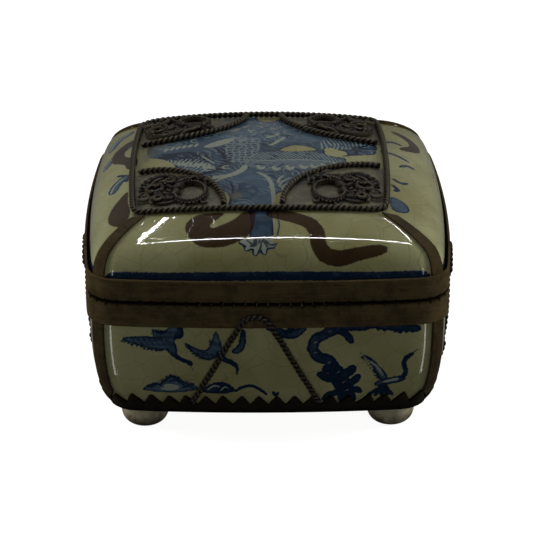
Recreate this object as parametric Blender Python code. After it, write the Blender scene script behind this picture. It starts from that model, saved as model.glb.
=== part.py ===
"""A porcelain box with a lift-off lid, bound in thin metal strips and twisted wire.

Metres, +Z up. The origin is on the ground under the middle of the box, and the decorated front faces -Y.
"""

import math

import bmesh
import bpy
from mathutils import Vector

# Plan of the box, the same for base and lid: a square with swelling sides and cut corners
WIDTH = 0.120  # over the rim strips, at the middle of each side
SIDE_SWELL = 0.0026  # how far the middle of a side stands out past its ends
CORNER_CUT = 0.0056  # leg of each cut corner
CORNER_SHARPNESS = 110  # higher makes the edges of the cut corners crisper

# Clearances and strip stock
FIT = 0.0003  # between any two pieces that touch
STRIP = 0.0006  # thickness of the sheet metal
STRAP_WIDTH = 0.0050  # corner straps
STRAP_TOP_WIDTH = 0.0034  # the lid's straps narrow to this at the wire frame
WIRE = 0.0017  # diameter of the twisted wire

# Base
FOOT_HEIGHT = 0.0082  # ground to the underside of the base
FOOT_DIAMETER = 0.0156
FOOT_PAD_DIAMETER = 0.0070  # flat that each foot stands on
FOOT_INSET = 0.0198  # side of the box at its middle to the middle of a foot
BASE_HEIGHT = 0.0411  # underside to the ledge that carries the lid
BASE_DRAW_IN = 0.0075  # how far the wall comes in at the underside
DRAW_IN_POWER = 4.2  # higher keeps the wall upright for longer
WALL = 0.0048
FLOOR = 0.0050
UNDERSIDE_ROUND = 0.0018
RIM_ROUND = 0.0015  # outer edge of the ledge, under the folded strip
LIP_HEIGHT = 0.0045  # collar on the ledge that keeps the lid in place
LIP_THICKNESS = 0.0028
LIP_CLEARANCE = 0.0009
LIP_ROOT = 0.0070  # height over which the collar runs out into the wall inside
BASE_STRIP_HEIGHT = 0.0079
FOOT_STRIP_LIFT = 0.0007  # underside to the lower edge of the toothed strip
FOOT_STRIP_HEIGHT = 0.0046  # lower edge to the roots of the teeth
TOOTH_HEIGHT = 0.0031
TOOTH_PITCH = 0.0060
ARCH_SPAN = 0.0406  # wire arch on each side of the base, between its two ends
ARCH_RADIUS = 0.0056
ARCH_OVERLAP = 0.0042  # the arch's top over the rim strip's lower edge
ARCH_SHIFT = 0.0040  # the arches sit off centre, clockwise round the box

# Lid
LID_WALL = 0.0042
LID_UPRIGHT = 0.0040  # straight part of the lid's wall, behind the rim strip
LID_TUCK = 0.0006  # how far the wall leans in over that height
LID_RISE = 0.0225  # dome above it
DOME_POWER = 3.2  # higher makes the dome flatter on top and fuller at the shoulder
DOME_SQUARING = 1.5  # how quickly the dome's round top turns into the square plan
LID_STRIP_HEIGHT = 0.0079
FRAME_MARGIN = 0.0184  # side of the box to the wire frame on the dome, at the middle of a side
FRAME_SWELL = 0.0015
FRAME_CORNER_CUT = 0.0020
FRAME_SHIFT = 0.0024  # the frame was set this far off centre, towards -X
# Along each side of the frame: the width left open between its two corner arcs, and how far off the side's
# middle that opening is, towards +X or +Y
ARC_OPENINGS = {"front": (0.0186, -0.0021), "back": (0.0118, 0.0017), "left": (0.0244, 0.0010), "right": (0.0210, 0.0017)}

# Corner ornaments: a dragon coiled into a ring, with its limbs towards the frame's corner. It is drawn from
# that corner, along the front or back of the frame and then along its left or right side, in shares of its
# own length. The length is what the shortest arc leaves.
ORNAMENT_MARGIN = 0.0029
RING_CENTRE = (0.708, 0.367)
RING_REACH = (0.204, 0.246)
RING_BODY = 0.0023
HEAD_CENTRE = (0.829, 0.667)
HEAD_SIZE = 0.0040
NECK = ((0.592, 0.558), (0.654, 0.654), (0.758, 0.688))
UPPER_LIMB = ((0.550, 0.517), (0.517, 0.708), (0.413, 0.829), (0.258, 0.792), (0.167, 0.646))
MIDDLE_LIMB = ((0.521, 0.450), (0.392, 0.596), (0.254, 0.554), (0.200, 0.446), (0.275, 0.375))
LOWER_LIMB = ((0.513, 0.275), (0.429, 0.200), (0.296, 0.183), (0.213, 0.258), (0.300, 0.400), (0.508, 0.388))
LIMB_BODY = 0.0017

RING_SIDES = ((0.0, 0.5), (-1.0, 1.0))  # samples along a half side and round an edge
EDGE_SPAN = math.radians(1.1)  # half the angle over which an edge of a cut corner is rounded
CORNERS = {"front_left": 225, "front_right": 315, "back_right": 45, "back_left": 135}
SIDES = {"front": 270, "right": 0, "back": 90, "left": 180}

# Sizes that follow
HALF = WIDTH / 2
PORCELAIN_HALF = HALF - STRIP - FIT
LEDGE_Z = FOOT_HEIGHT + BASE_HEIGHT
JOINT_Z = LEDGE_Z + FIT + STRIP  # top of the base's folded strip
LID_STRIP_Z = JOINT_Z + FIT
LID_Z = LID_STRIP_Z + STRIP + FIT
DOME_Z = LID_Z + LID_UPRIGHT
DOME_HALF = PORCELAIN_HALF - LID_TUCK
LIP_OUTER = PORCELAIN_HALF - LID_WALL - LIP_CLEARANCE
LIP_INNER = LIP_OUTER - LIP_THICKNESS
BASE_STRIP_Z = JOINT_Z - BASE_STRIP_HEIGHT
LID_STRIP_TOP = LID_STRIP_Z + LID_STRIP_HEIGHT
FRAME_HALF = HALF - FRAME_MARGIN
FRAME_CORNER = FRAME_HALF - FRAME_SWELL
TOOTH_ROOT_Z = FOOT_HEIGHT + FOOT_STRIP_LIFT + FOOT_STRIP_HEIGHT
TOOTH_TIP_Z = TOOTH_ROOT_Z + TOOTH_HEIGHT


def plan_radius(angle, half, swell, cut):
    """Distance from the middle to the plan's outline: a square of that half width, swelling sides, cut corners."""
    folded = angle % (math.pi / 2)
    folded = min(folded, math.pi / 2 - folded)
    across, along = math.cos(folded), math.sin(folded)
    end = half - swell
    curve = swell / (end - cut) ** 2 * along**2
    side = half / across
    if curve > 1e-9:
        side = (math.sqrt(across**2 + 4 * curve * half) - across) / (2 * curve)
    corner = (2 * end - cut) / (across + along)
    near, far = min(side, corner), max(side, corner)
    return near * (1 + (near / far) ** CORNER_SHARPNESS) ** (-1 / CORNER_SHARPNESS)


def box_share(angle):
    """The box's outline in this direction, as a share of its half width."""
    return plan_radius(angle, HALF, SIDE_SWELL, CORNER_CUT) / HALF


def plan_angles():
    """Directions in which the outline is sampled: a few along each side and more round each edge of a corner."""
    end = HALF - SIDE_SWELL
    edge = math.atan2(end - CORNER_CUT, end)
    along, rounded = RING_SIDES
    half_side = [share * (edge - EDGE_SPAN) for share in along]
    half_side += [edge + share * EDGE_SPAN for share in rounded]
    quarter = half_side + [math.pi / 2 - angle for angle in reversed(half_side[1:])]
    return [turn * math.pi / 2 + angle for turn in range(4) for angle in quarter]


def ring(half, z):
    """The outline with this half width at the middle of its sides, at height z."""
    return [
        Vector((half * box_share(a) * math.cos(a), half * box_share(a) * math.sin(a), z)) for a in plan_angles()
    ]


def wall_half(z):
    """Half width of the base's outer wall at height z."""
    share = (LEDGE_Z - z) / BASE_HEIGHT
    return PORCELAIN_HALF - BASE_DRAW_IN * max(share, 0) ** DRAW_IN_POWER


def wall_point(angle, z, lift):
    """A point over the base's outer wall, lifted straight out."""
    radius = (wall_half(z) + lift) * box_share(angle)
    return Vector((radius * math.cos(angle), radius * math.sin(angle), z))


def dome_rise(share, angle):
    """Height of the dome as a share of its rise, at this share of the way from the middle to the rim."""
    corner = box_share(angle)
    gauge = share * (corner + (1 - corner) * share**DOME_SQUARING)
    return max(1 - gauge**DOME_POWER, 0) ** (1 / DOME_POWER)


def dome_point(angle, turn, half=DOME_HALF, rise=LID_RISE):
    """A point on the dome. The turn goes from 0 at the rim to a quarter turn at the top."""
    share = max(math.cos(turn), 0) ** (2 / DOME_POWER)
    radius = share * half * box_share(angle)
    return Vector((radius * math.cos(angle), radius * math.sin(angle), DOME_Z + rise * dome_rise(share, angle)))


def lifted_dome_point(angle, turn, lift):
    """A point over the dome, lifted along its normal."""
    step = 1e-4
    round_box = dome_point(angle + step, turn) - dome_point(angle - step, turn)
    up_dome = dome_point(angle, turn + step) - dome_point(angle, turn - step)
    return dome_point(angle, turn) + round_box.cross(up_dome).normalized() * lift


def over_lid(x, y, lift):
    """The point over the dome above this place in plan."""
    angle = math.atan2(y, x)
    share = math.hypot(x, y) / (DOME_HALF * box_share(angle))
    return lifted_dome_point(angle, math.acos(share ** (DOME_POWER / 2)), lift)


def turn_at_height(angle, z):
    """How far up the dome's profile in this direction the height z lies."""
    low, high = 0.0, math.pi / 2
    for _ in range(40):
        middle = (low + high) / 2
        low, high = (middle, high) if dome_point(angle, middle).z < z else (low, middle)
    return low


def smooth_route(points, steps):
    """Points on one smooth curve through the given ones."""
    ends = [points[0], *points, points[-1]]
    route = []
    for p0, p1, p2, p3 in zip(ends, ends[1:], ends[2:], ends[3:]):
        for step in range(steps):
            t = step / steps
            route.append([
                0.5 * (2 * b + (c - a) * t + (2 * a - 5 * b + 4 * c - d) * t**2 + (3 * b - a - 3 * c + d) * t**3)
                for a, b, c, d in zip(p0, p1, p2, p3)
            ])
    return [*route, list(points[-1])]


def material(name, colour, roughness, metallic):
    made = bpy.data.materials.new(name)
    made.use_nodes = True
    shader = made.node_tree.nodes["Principled BSDF"]
    shader.inputs["Base Color"].default_value = (*colour, 1)
    shader.inputs["Roughness"].default_value = roughness
    shader.inputs["Metallic"].default_value = metallic
    return made


def finished(name, bm, finish, smooth_angle=math.radians(32)):
    """The bmesh as an object, closed, facing out and shaded smooth between its edges."""
    bmesh.ops.remove_doubles(bm, verts=bm.verts, dist=1e-7)
    bmesh.ops.recalc_face_normals(bm, faces=bm.faces)
    mesh = bpy.data.meshes.new(name)
    bm.to_mesh(mesh)
    bm.free()
    mesh.materials.append(finish)
    mesh.shade_smooth()
    mesh.set_sharp_from_angle(angle=smooth_angle)
    made = bpy.data.objects.new(name, mesh)
    bpy.context.collection.objects.link(made)
    return made


def extruded(loops, capped=False):
    """A bmesh of one closed loop extruded through the others. With no caps, the last loop runs back to the first."""
    bm = bmesh.new()
    verts = [bm.verts.new(p) for p in loops[0]]
    edges = [bm.edges.new((a, b)) for a, b in zip(verts, [*verts[1:], verts[0]])]
    if capped:
        bm.faces.new(verts)
    for loop in [*loops[1:]] + ([] if capped else [loops[0]]):
        moved = bmesh.ops.extrude_edge_only(bm, edges=edges)["geom"]
        new = {v for v in moved if isinstance(v, bmesh.types.BMVert)}
        edges = [e for e in moved if isinstance(e, bmesh.types.BMEdge) and set(e.verts) <= new]
        above = [next(e.other_vert(v) for e in v.link_edges if e.other_vert(v) in new) for v in verts]
        for v, p in zip(above, loop):
            v.co = p
        verts = above
    if capped:
        bm.faces.new(verts)
    return bm


def tube(name, points, diameter, finish, closed=False, sides=6):
    """A wire along these points."""
    curve = bpy.data.curves.new(name, "CURVE")
    curve.dimensions = "3D"
    curve.bevel_depth = diameter / 2
    curve.bevel_resolution = sides // 2 - 2
    curve.use_fill_caps = not closed
    spline = curve.splines.new("POLY")
    spline.points.add(len(points) - 1)
    spline.use_cyclic_u = closed
    spline.use_smooth = True
    for place, p in zip(spline.points, points):
        place.co = (*p, 1)
    curve.materials.append(finish)
    made = bpy.data.objects.new(name, curve)
    bpy.context.collection.objects.link(made)
    return made


def as_mesh(obj):
    """The same shape as a mesh object, closed at its caps."""
    name = obj.name
    bpy.context.view_layer.update()
    mesh = bpy.data.meshes.new_from_object(obj.evaluated_get(bpy.context.evaluated_depsgraph_get()))
    finish = obj.data.materials[0]
    bpy.data.objects.remove(obj)
    bm = bmesh.new()
    bm.from_mesh(mesh)
    return finished(name, bm, finish)


def add(base, other):
    """Joins another object into this one as one solid."""
    union = base.modifiers.new("add_" + other.name, "BOOLEAN")
    union.operation = "UNION"
    union.object = other
    other.hide_render = True
    other.display_type = "WIRE"


def base_profile():
    """(half width, height) down from the middle of the floor inside, over the rim, to the underside."""
    floor_z = FOOT_HEIGHT + FLOOR
    root_z = LEDGE_Z - LIP_ROOT
    lip_top = LEDGE_Z + LIP_HEIGHT
    edge = LIP_THICKNESS / 4
    inner = [(wall_half(floor_z) - WALL - UNDERSIDE_ROUND * 2, floor_z)]
    inner_heights = [floor_z + UNDERSIDE_ROUND + (root_z - floor_z - UNDERSIDE_ROUND) * i / 2 for i in range(3)]
    inner += [(wall_half(z) - WALL, z) for z in inner_heights]
    lip = [
        (LIP_INNER, LEDGE_Z),
        (LIP_INNER, lip_top - edge),
        (LIP_INNER + edge, lip_top),
        (LIP_OUTER - edge, lip_top),
        (LIP_OUTER, lip_top - edge),
        (LIP_OUTER, LEDGE_Z),
    ]
    soft = RIM_ROUND * (1 - math.sqrt(0.5))
    rim = [(PORCELAIN_HALF - RIM_ROUND, LEDGE_Z), (PORCELAIN_HALF - soft, LEDGE_Z - soft)]
    top, bottom = LEDGE_Z - RIM_ROUND, FOOT_HEIGHT + UNDERSIDE_ROUND
    shares = [(i / 5) ** 0.7 for i in range(6)]
    wall = [(wall_half(top + (bottom - top) * share), top + (bottom - top) * share) for share in shares]
    soft = UNDERSIDE_ROUND * (1 - math.sqrt(0.5))
    under = [(wall_half(bottom) - soft * 1.6, FOOT_HEIGHT + soft), (wall_half(bottom) - UNDERSIDE_ROUND * 1.4, FOOT_HEIGHT)]
    return inner + lip + rim + wall + under


def make_foot(angle, finish):
    """A bun foot, turned, with a flat pad. It runs up into the base, which it is joined to."""
    away = (HALF - FOOT_INSET) * math.sqrt(2)
    centre = Vector((away * math.cos(angle), away * math.sin(angle), 0))
    pad, bulge = FOOT_PAD_DIAMETER / 2, FOOT_DIAMETER / 2
    profile = [
        (pad + (bulge - pad) * math.sin(math.radians(a)), FOOT_HEIGHT * 0.62 * (1 - math.cos(math.radians(a))))
        for a in (0, 30, 60, 90)
    ]
    profile.append((bulge * 0.94, FOOT_HEIGHT + FLOOR / 2))
    sides = 12
    loops = [
        [centre + Vector((r * math.cos(2 * math.pi * i / sides), r * math.sin(2 * math.pi * i / sides), z))
         for i in range(sides)]
        for r, z in profile
    ]  # fmt: skip
    return finished(f"foot_{round(math.degrees(angle))}", extruded(loops, capped=True), finish)


def make_base(glaze):
    loops = [ring(half, z) for half, z in base_profile()]
    base = finished("base_porcelain", extruded(loops, capped=True), glaze)
    for degrees in CORNERS.values():
        add(base, make_foot(math.radians(degrees), glaze))


def make_lid(glaze):
    """The dome, hollow below."""
    steps, inner_steps = 8, 4
    inner_half, inner_rise = PORCELAIN_HALF - LID_WALL, LID_RISE - LID_WALL
    angles = plan_angles()
    top, near_top = math.pi / 2, 0.97
    outside = [[dome_point(a, top * near_top * i / steps) for a in angles] for i in range(steps, -1, -1)]
    inside = [
        [dome_point(a, top * near_top * i / inner_steps, inner_half, inner_rise) for a in angles]
        for i in range(inner_steps + 1)
    ]
    soft = RIM_ROUND * (1 - math.sqrt(0.5))
    rim = [
        ring(PORCELAIN_HALF, LID_Z + RIM_ROUND),
        ring(PORCELAIN_HALF - soft, LID_Z + soft),
        ring(PORCELAIN_HALF - RIM_ROUND, LID_Z),
        ring(inner_half, LID_Z),
    ]
    poles = [[dome_point(0, top)] * len(angles), [dome_point(0, top, inner_half, inner_rise)] * len(angles)]
    loops = [poles[0], *outside, *rim, *inside, poles[1]]
    return finished("lid_porcelain", lid_bmesh(loops), glaze)


def lid_bmesh(loops):
    """The loops from pole to pole, with the two pole loops shrunk to single points."""
    bm = extruded(loops[1:-1], capped=True)
    flats = [f for f in bm.faces if len(f.verts) > 4]
    poked = bmesh.ops.poke(bm, faces=flats)["verts"]
    for v in poked:
        v.co = min((loops[0][0], loops[-1][0]), key=lambda pole: (pole - v.co).length)
    return bm


def make_rim_strip(name, low, high, fold_low, inner_half, metal):
    """A strip round the rim, folded in over its edge at the bottom or the top."""
    outer, bend = HALF, RIM_ROUND
    soft = bend * (1 - math.sqrt(0.5))
    edge, away, fold = (low, high, 1) if fold_low else (high, low, -1)
    profile = [
        (outer, away),
        (outer, edge + fold * bend),
        (outer - soft, edge + fold * soft),
        (outer - bend, edge),
        (inner_half, edge),
        (inner_half, edge + fold * STRIP),
        (outer - bend, edge + fold * STRIP),
        (outer - STRIP, edge + fold * bend),
        (outer - STRIP, away),
    ]
    return finished(name, extruded([ring(half, z) for half, z in profile]), metal)


def outline_directions(count):
    """Evenly spaced directions by length round the box, not by angle."""
    fine = [2 * math.pi * i / 2880 for i in range(2881)]
    places = [Vector((box_share(a) * math.cos(a), box_share(a) * math.sin(a))) for a in fine]
    run = [0.0]
    for here, there in zip(places, places[1:]):
        run.append(run[-1] + (there - here).length)
    found, at = [], 0
    for i in range(count):
        while run[at + 1] < run[-1] * i / count:
            at += 1
        found.append(fine[at] + (run[-1] * i / count - run[at]) / (run[at + 1] - run[at]) * (fine[at + 1] - fine[at]))
    return found


def make_foot_strip(metal):
    """The strip round the foot of the base, cut into teeth along its upper edge. A notch falls on every corner."""
    teeth = 8 * round(wall_half(TOOTH_ROOT_Z) * 0.97 / TOOTH_PITCH)
    directions = outline_directions(2 * teeth)
    tops = [TOOTH_TIP_Z if i % 2 else TOOTH_ROOT_Z for i in range(2 * teeth)]
    bottoms = [FOOT_HEIGHT + FOOT_STRIP_LIFT] * len(tops)
    outside, inside = (
        [[wall_point(a, z, lift) for a, z in zip(directions, edge)] for edge in (tops, bottoms)]
        for lift in (FIT + STRIP, FIT)
    )
    return finished("foot_strip", extruded([*outside, *reversed(inside)]), metal)


def make_strap(name, across, metal):
    """A strap through these cross-sections, each three points under and three over."""
    return finished(name, extruded([[*under, *reversed(over)] for under, over in across], capped=True), metal)


def make_base_strap(corner, degrees, metal):
    """A strap down the cut corner, from the rim strip. Its end is pointed and fits a notch of the foot strip."""
    angle = math.radians(degrees)
    high = BASE_STRIP_Z - FIT
    point = TOOTH_ROOT_Z + 2 * FIT
    shoulder = point + TOOTH_HEIGHT * STRAP_WIDTH / TOOTH_PITCH
    half = STRAP_WIDTH / 2 / (HALF * box_share(angle))
    steps = 5
    sections = []
    for i in range(steps + 1):
        beside = high + (shoulder - high) * i / steps
        middle = point if i == steps else beside
        row = [(angle - half, beside), (angle, middle), (angle + half, beside)]
        sections.append([[wall_point(a, z, lift) for a, z in row] for lift in (FIT, FIT + STRIP)])
    return make_strap(f"base_strap_{corner}", sections, metal)


def corner_signs(degrees):
    """Whether this corner is towards +X or -X, and towards +Y or -Y."""
    angle = math.radians(degrees)
    return math.copysign(1, math.cos(angle)), math.copysign(1, math.sin(angle))


def make_lid_strap(corner, degrees, metal):
    """A strap down the dome, from the frame's front or back edge to the rim strip. Its top end is cut along that edge."""
    sign_x, sign_y = corner_signs(degrees)
    x = sign_x * FRAME_CORNER - FRAME_SHIFT / 2
    y = sign_y * (FRAME_CORNER + WIRE * 0.7 + FIT)
    start_angle, end_angle = math.atan2(y, x) % (2 * math.pi), math.radians(degrees)
    start_share = math.hypot(x, y) / (DOME_HALF * box_share(start_angle))
    start = math.acos(start_share ** (DOME_POWER / 2))
    end = turn_at_height(end_angle, LID_STRIP_TOP + FIT)
    steps = 7
    sections = []
    for i in range(steps + 1):
        done = i / steps
        centre_angle = start_angle + (end_angle - start_angle) * min(1.6 * done, 1)
        centre_turn = start + (end - start) * done
        radius = dome_point(centre_angle, centre_turn).xy.length
        half = (STRAP_TOP_WIDTH + (STRAP_WIDTH - STRAP_TOP_WIDTH) * done) / 2
        slant = max(1 - 2.2 * done, 0) / math.tan(centre_angle)
        rows = []
        for lift in (FIT, FIT + STRIP):
            row = []
            for offset in (-half, 0, half):
                share = max(math.cos(centre_turn), 0) ** (2 / DOME_POWER)
                share -= offset * slant / (DOME_HALF * box_share(centre_angle))
                row.append(lifted_dome_point(centre_angle + offset / radius, math.acos(share ** (DOME_POWER / 2)), lift))
            rows.append(row)
        sections.append(rows)
    return make_strap(f"lid_strap_{corner}", sections, metal)


def make_frame(metal):
    """The wire frame laid on the dome."""
    lift = FIT + WIRE / 2
    points = []
    for a in plan_angles():
        radius = plan_radius(a, FRAME_HALF, FRAME_SWELL, FRAME_CORNER_CUT)
        points.append(over_lid(radius * math.cos(a) - FRAME_SHIFT, radius * math.sin(a), lift))
    return as_mesh(tube("lid_frame_wire", points, WIRE, metal, closed=True))


def from_frame_corner(degrees, along_x, along_y, lift):
    """A point over the dome, this far from the frame's corner towards the frame's middle."""
    sign_x, sign_y = corner_signs(degrees)
    return over_lid(sign_x * (FRAME_CORNER - along_x) - FRAME_SHIFT, sign_y * (FRAME_CORNER - along_y), lift)


def arc_reach(degrees):
    """How far a corner's arc reaches along X and along Y."""
    sign_x, sign_y = corner_signs(degrees)
    width_x, middle_x = ARC_OPENINGS["front" if sign_y < 0 else "back"]
    width_y, middle_y = ARC_OPENINGS["left" if sign_x < 0 else "right"]
    return FRAME_CORNER - width_x / 2 - sign_x * middle_x, FRAME_CORNER - width_y / 2 - sign_y * middle_y


def make_spandrel(corner, degrees, metal):
    """A quarter round of wire across the frame's corner, ending at the frame."""
    reach_x, reach_y = arc_reach(degrees)
    start, end = (math.asin((WIRE + 2 * FIT - FRAME_SWELL * 0.8) / reach) for reach in (reach_y, reach_x))
    steps = 9
    points = []
    for i in range(steps + 1):
        a = start + (math.pi / 2 - start - end) * i / steps
        points.append(from_frame_corner(degrees, reach_x * math.cos(a), reach_y * math.sin(a), FIT + WIRE / 2))
    return as_mesh(tube(f"spandrel_wire_{corner}", points, WIRE, metal))


def arch_route():
    """(offset, height) along a wire arch: two straight legs and a round top."""
    top = BASE_STRIP_Z + ARCH_OVERLAP
    bottom = (TOOTH_ROOT_Z + TOOTH_TIP_Z) / 2
    centre = top - ARCH_RADIUS
    away = math.hypot(ARCH_SPAN / 2, centre - bottom)
    lean = math.asin(ARCH_RADIUS / away) + math.atan2(centre - bottom, ARCH_SPAN / 2)
    touch = math.pi / 2 - lean
    steps, turns = 4, 6
    leg_end = (ARCH_RADIUS * math.cos(touch), centre + ARCH_RADIUS * math.sin(touch))
    leg = [
        (ARCH_SPAN / 2 + (leg_end[0] - ARCH_SPAN / 2) * i / steps, bottom + (leg_end[1] - bottom) * i / steps)
        for i in range(steps)
    ]
    bend = [touch + (math.pi - 2 * touch) * i / turns for i in range(turns + 1)]
    crown = [(ARCH_RADIUS * math.cos(a), centre + ARCH_RADIUS * math.sin(a)) for a in bend]
    return leg + crown + [(-offset, z) for offset, z in reversed(leg)]


def arch_lift(z):
    """The wire's middle over the wall. It climbs over the strips at both ends."""
    near_rim = min(max((z - BASE_STRIP_Z + 2.2 * WIRE) / WIRE, 0), 1)
    near_teeth = min(max((TOOTH_TIP_Z + 2.2 * WIRE - z) / WIRE, 0), 1)
    return FIT + WIRE / 2 + (STRIP + FIT) * max(near_rim, near_teeth)


def make_arch(side, degrees, metal):
    """A wire arch standing on the foot strip and crossing the rim strip's lower edge."""
    facing = math.radians(degrees)
    outward = Vector((math.cos(facing), math.sin(facing), 0))
    rightward = Vector((-math.sin(facing), math.cos(facing), 0))
    points = []
    for offset, z in arch_route():
        offset -= ARCH_SHIFT
        size = (wall_half(z) + arch_lift(z)) / HALF
        reach = size * (HALF - SIDE_SWELL - CORNER_CUT)
        depth = size * (HALF - SIDE_SWELL * (offset / reach) ** 2)
        points.append(outward * depth + rightward * offset + Vector((0, 0, z)))
    return as_mesh(tube(f"arch_wire_{side}", points, WIRE, metal))


def make_ornament(corner, degrees, metal):
    """A dragon coiled in the frame's corner: a ring of its body, a neck and head, and three curled limbs."""
    length = min(min(arc_reach(towards)) for towards in CORNERS.values()) - ORNAMENT_MARGIN
    turns = [2 * math.pi * i / 12 for i in range(12)]

    def place(shares, lift):
        return from_frame_corner(degrees, *(share * length for share in shares), lift)

    ring_route = [
        [middle + reach * swing(t) for middle, reach, swing in zip(RING_CENTRE, RING_REACH, (math.cos, math.sin))]
        for t in turns
    ]
    parts = []
    for label, route, size, sides in (
        ("ring", ring_route, RING_BODY, 6),
        ("neck", smooth_route((*NECK, HEAD_CENTRE), 1), RING_BODY, 6),
        ("upper", smooth_route(UPPER_LIMB, 2), LIMB_BODY, 4),
        ("middle", smooth_route(MIDDLE_LIMB, 2), LIMB_BODY, 4),
        ("lower", smooth_route(LOWER_LIMB, 2), LIMB_BODY, 4),
    ):
        points = [place(shares, FIT + size / 2) for shares in route]
        parts.append(as_mesh(tube(f"{label}_{corner}", points, size, metal, closed=label == "ring", sides=sides)))
    bm = bmesh.new()
    bmesh.ops.create_icosphere(bm, subdivisions=1, radius=HEAD_SIZE / 2)
    bmesh.ops.scale(bm, vec=(1, 1, 0.7), verts=bm.verts)
    bmesh.ops.translate(bm, vec=place(HEAD_CENTRE, FIT + HEAD_SIZE * 0.35), verts=bm.verts)
    parts.append(finished(f"head_{corner}", bm, metal))
    for other in parts[1:]:
        add(parts[0], other)
    parts[0].name = f"dragon_{corner}"


def main():
    for obj in list(bpy.data.objects):
        bpy.data.objects.remove(obj)
    glaze = material("crackled_glaze", (0.52, 0.53, 0.36), 0.12, 0.0)
    metal = material("dark_brass", (0.20, 0.16, 0.11), 0.50, 0.85)
    make_base(glaze)
    make_lid(glaze)
    fold_inner = LIP_OUTER + LIP_CLEARANCE
    make_rim_strip("base_rim_strip", BASE_STRIP_Z, JOINT_Z, False, fold_inner, metal)
    make_rim_strip("lid_rim_strip", LID_STRIP_Z, LID_STRIP_TOP, True, fold_inner, metal)
    make_foot_strip(metal)
    make_frame(metal)
    for corner, degrees in CORNERS.items():
        make_base_strap(corner, degrees, metal)
        make_lid_strap(corner, degrees, metal)
        make_spandrel(corner, degrees, metal)
        make_ornament(corner, degrees, metal)
    for side, degrees in SIDES.items():
        make_arch(side, degrees, metal)


main()
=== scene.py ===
"""A crackle-glazed porcelain box with a lift-off lid, bound in thin metal strips and twisted wire.

Laid out as an add-on and run as a script: one operator for each piece or group of like pieces, and one for
the stage. Metres, in the CAD model's own frame: +Z up, the decorated front faces -Y.
"""

import math

import bmesh
import bpy
import numpy as np
from mathutils import Matrix, Vector, kdtree
from mathutils import noise as grain


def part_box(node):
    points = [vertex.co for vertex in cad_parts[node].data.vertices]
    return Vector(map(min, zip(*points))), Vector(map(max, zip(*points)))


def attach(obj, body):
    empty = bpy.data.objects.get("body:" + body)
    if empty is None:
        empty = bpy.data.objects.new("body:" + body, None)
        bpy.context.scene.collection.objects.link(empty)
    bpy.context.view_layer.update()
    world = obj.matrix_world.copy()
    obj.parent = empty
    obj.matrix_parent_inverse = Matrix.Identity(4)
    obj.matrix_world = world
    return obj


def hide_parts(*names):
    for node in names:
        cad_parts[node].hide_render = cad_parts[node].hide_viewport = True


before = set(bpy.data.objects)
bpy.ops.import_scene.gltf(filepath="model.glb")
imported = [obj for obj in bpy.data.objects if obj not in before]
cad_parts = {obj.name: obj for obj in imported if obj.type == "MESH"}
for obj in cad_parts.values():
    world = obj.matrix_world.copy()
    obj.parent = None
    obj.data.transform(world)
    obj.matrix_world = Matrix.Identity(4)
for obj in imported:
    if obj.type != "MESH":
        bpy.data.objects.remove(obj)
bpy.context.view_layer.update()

bl_info = {
    "name": "Crackle-glazed lidded box",
    "version": (1, 0, 0),
    "blender": (4, 5, 0),
    "location": "3D View > Sidebar > Lidded Box",
    "description": "Glazed porcelain, metal binding and twisted wire for a lidded box",
    "category": "Object",
}

# The CAD model's own sizes
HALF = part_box("lid_rim_strip")[1][0]  # half width over the rim strips, at the middle of a side
SIDE_SWELL = 0.0026
CORNER_CUT = 0.0056
CORNER_SHARPNESS = 75  # softer than in the CAD model
FIT = 0.0003  # the gap between pieces that lie on each other
STRIP = 0.0006  # thickness of the sheet metal
STRAP_WIDTH = 0.0050
STRAP_TOP_WIDTH = 0.0034
WIRE = 0.0017  # diameter over both strands
FOOT_HEIGHT = 0.0082
FOOT_DIAMETER = 0.0156
FOOT_PAD_DIAMETER = 0.0070
FOOT_INSET = 0.0198
BASE_HEIGHT = 0.0411
BASE_DRAW_IN = 0.0075
DRAW_IN_POWER = 4.2
WALL = 0.0048
FLOOR = 0.0050
UNDERSIDE_ROUND = 0.0018
RIM_ROUND = 0.0015
LIP_HEIGHT = 0.0045
LIP_THICKNESS = 0.0028
LIP_CLEARANCE = 0.0009
LIP_ROOT = 0.0070
STRIP_HEIGHT = 0.0079
FOOT_STRIP_LIFT = 0.0007
FOOT_STRIP_HEIGHT = 0.0046
TOOTH_HEIGHT = 0.0031
TOOTH_PITCH = 0.0060
ARCH_SPAN = 0.0406
ARCH_RADIUS = 0.0056
ARCH_OVERLAP = 0.0042
ARCH_SHIFT = 0.0040
LID_WALL = 0.0042
LID_UPRIGHT = 0.0040
LID_TUCK = 0.0006
LID_RISE = 0.0225
DOME_POWER = 3.2
DOME_SQUARING = 1.5
FRAME_MARGIN = 0.0184
FRAME_SWELL = 0.0015
FRAME_CORNER_CUT = 0.0020
FRAME_SHIFT = 0.0024  # the wire frame sits this far left of the lid's middle
ARC_OPENINGS = {  # (width, middle) of the gap between two corner arcs, on each side of the frame
    "front": (0.0186, -0.0021),
    "back": (0.0118, 0.0017),
    "left": (0.0244, 0.0010),
    "right": (0.0210, 0.0017),
}
ORNAMENT_MARGIN = 0.0018  # less than in the CAD model
CORNERS = {"front_left": 225, "front_right": 315, "back_right": 45, "back_left": 135}
SIDES = {"front": 270, "right": 0, "back": 90, "left": 180}

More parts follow.
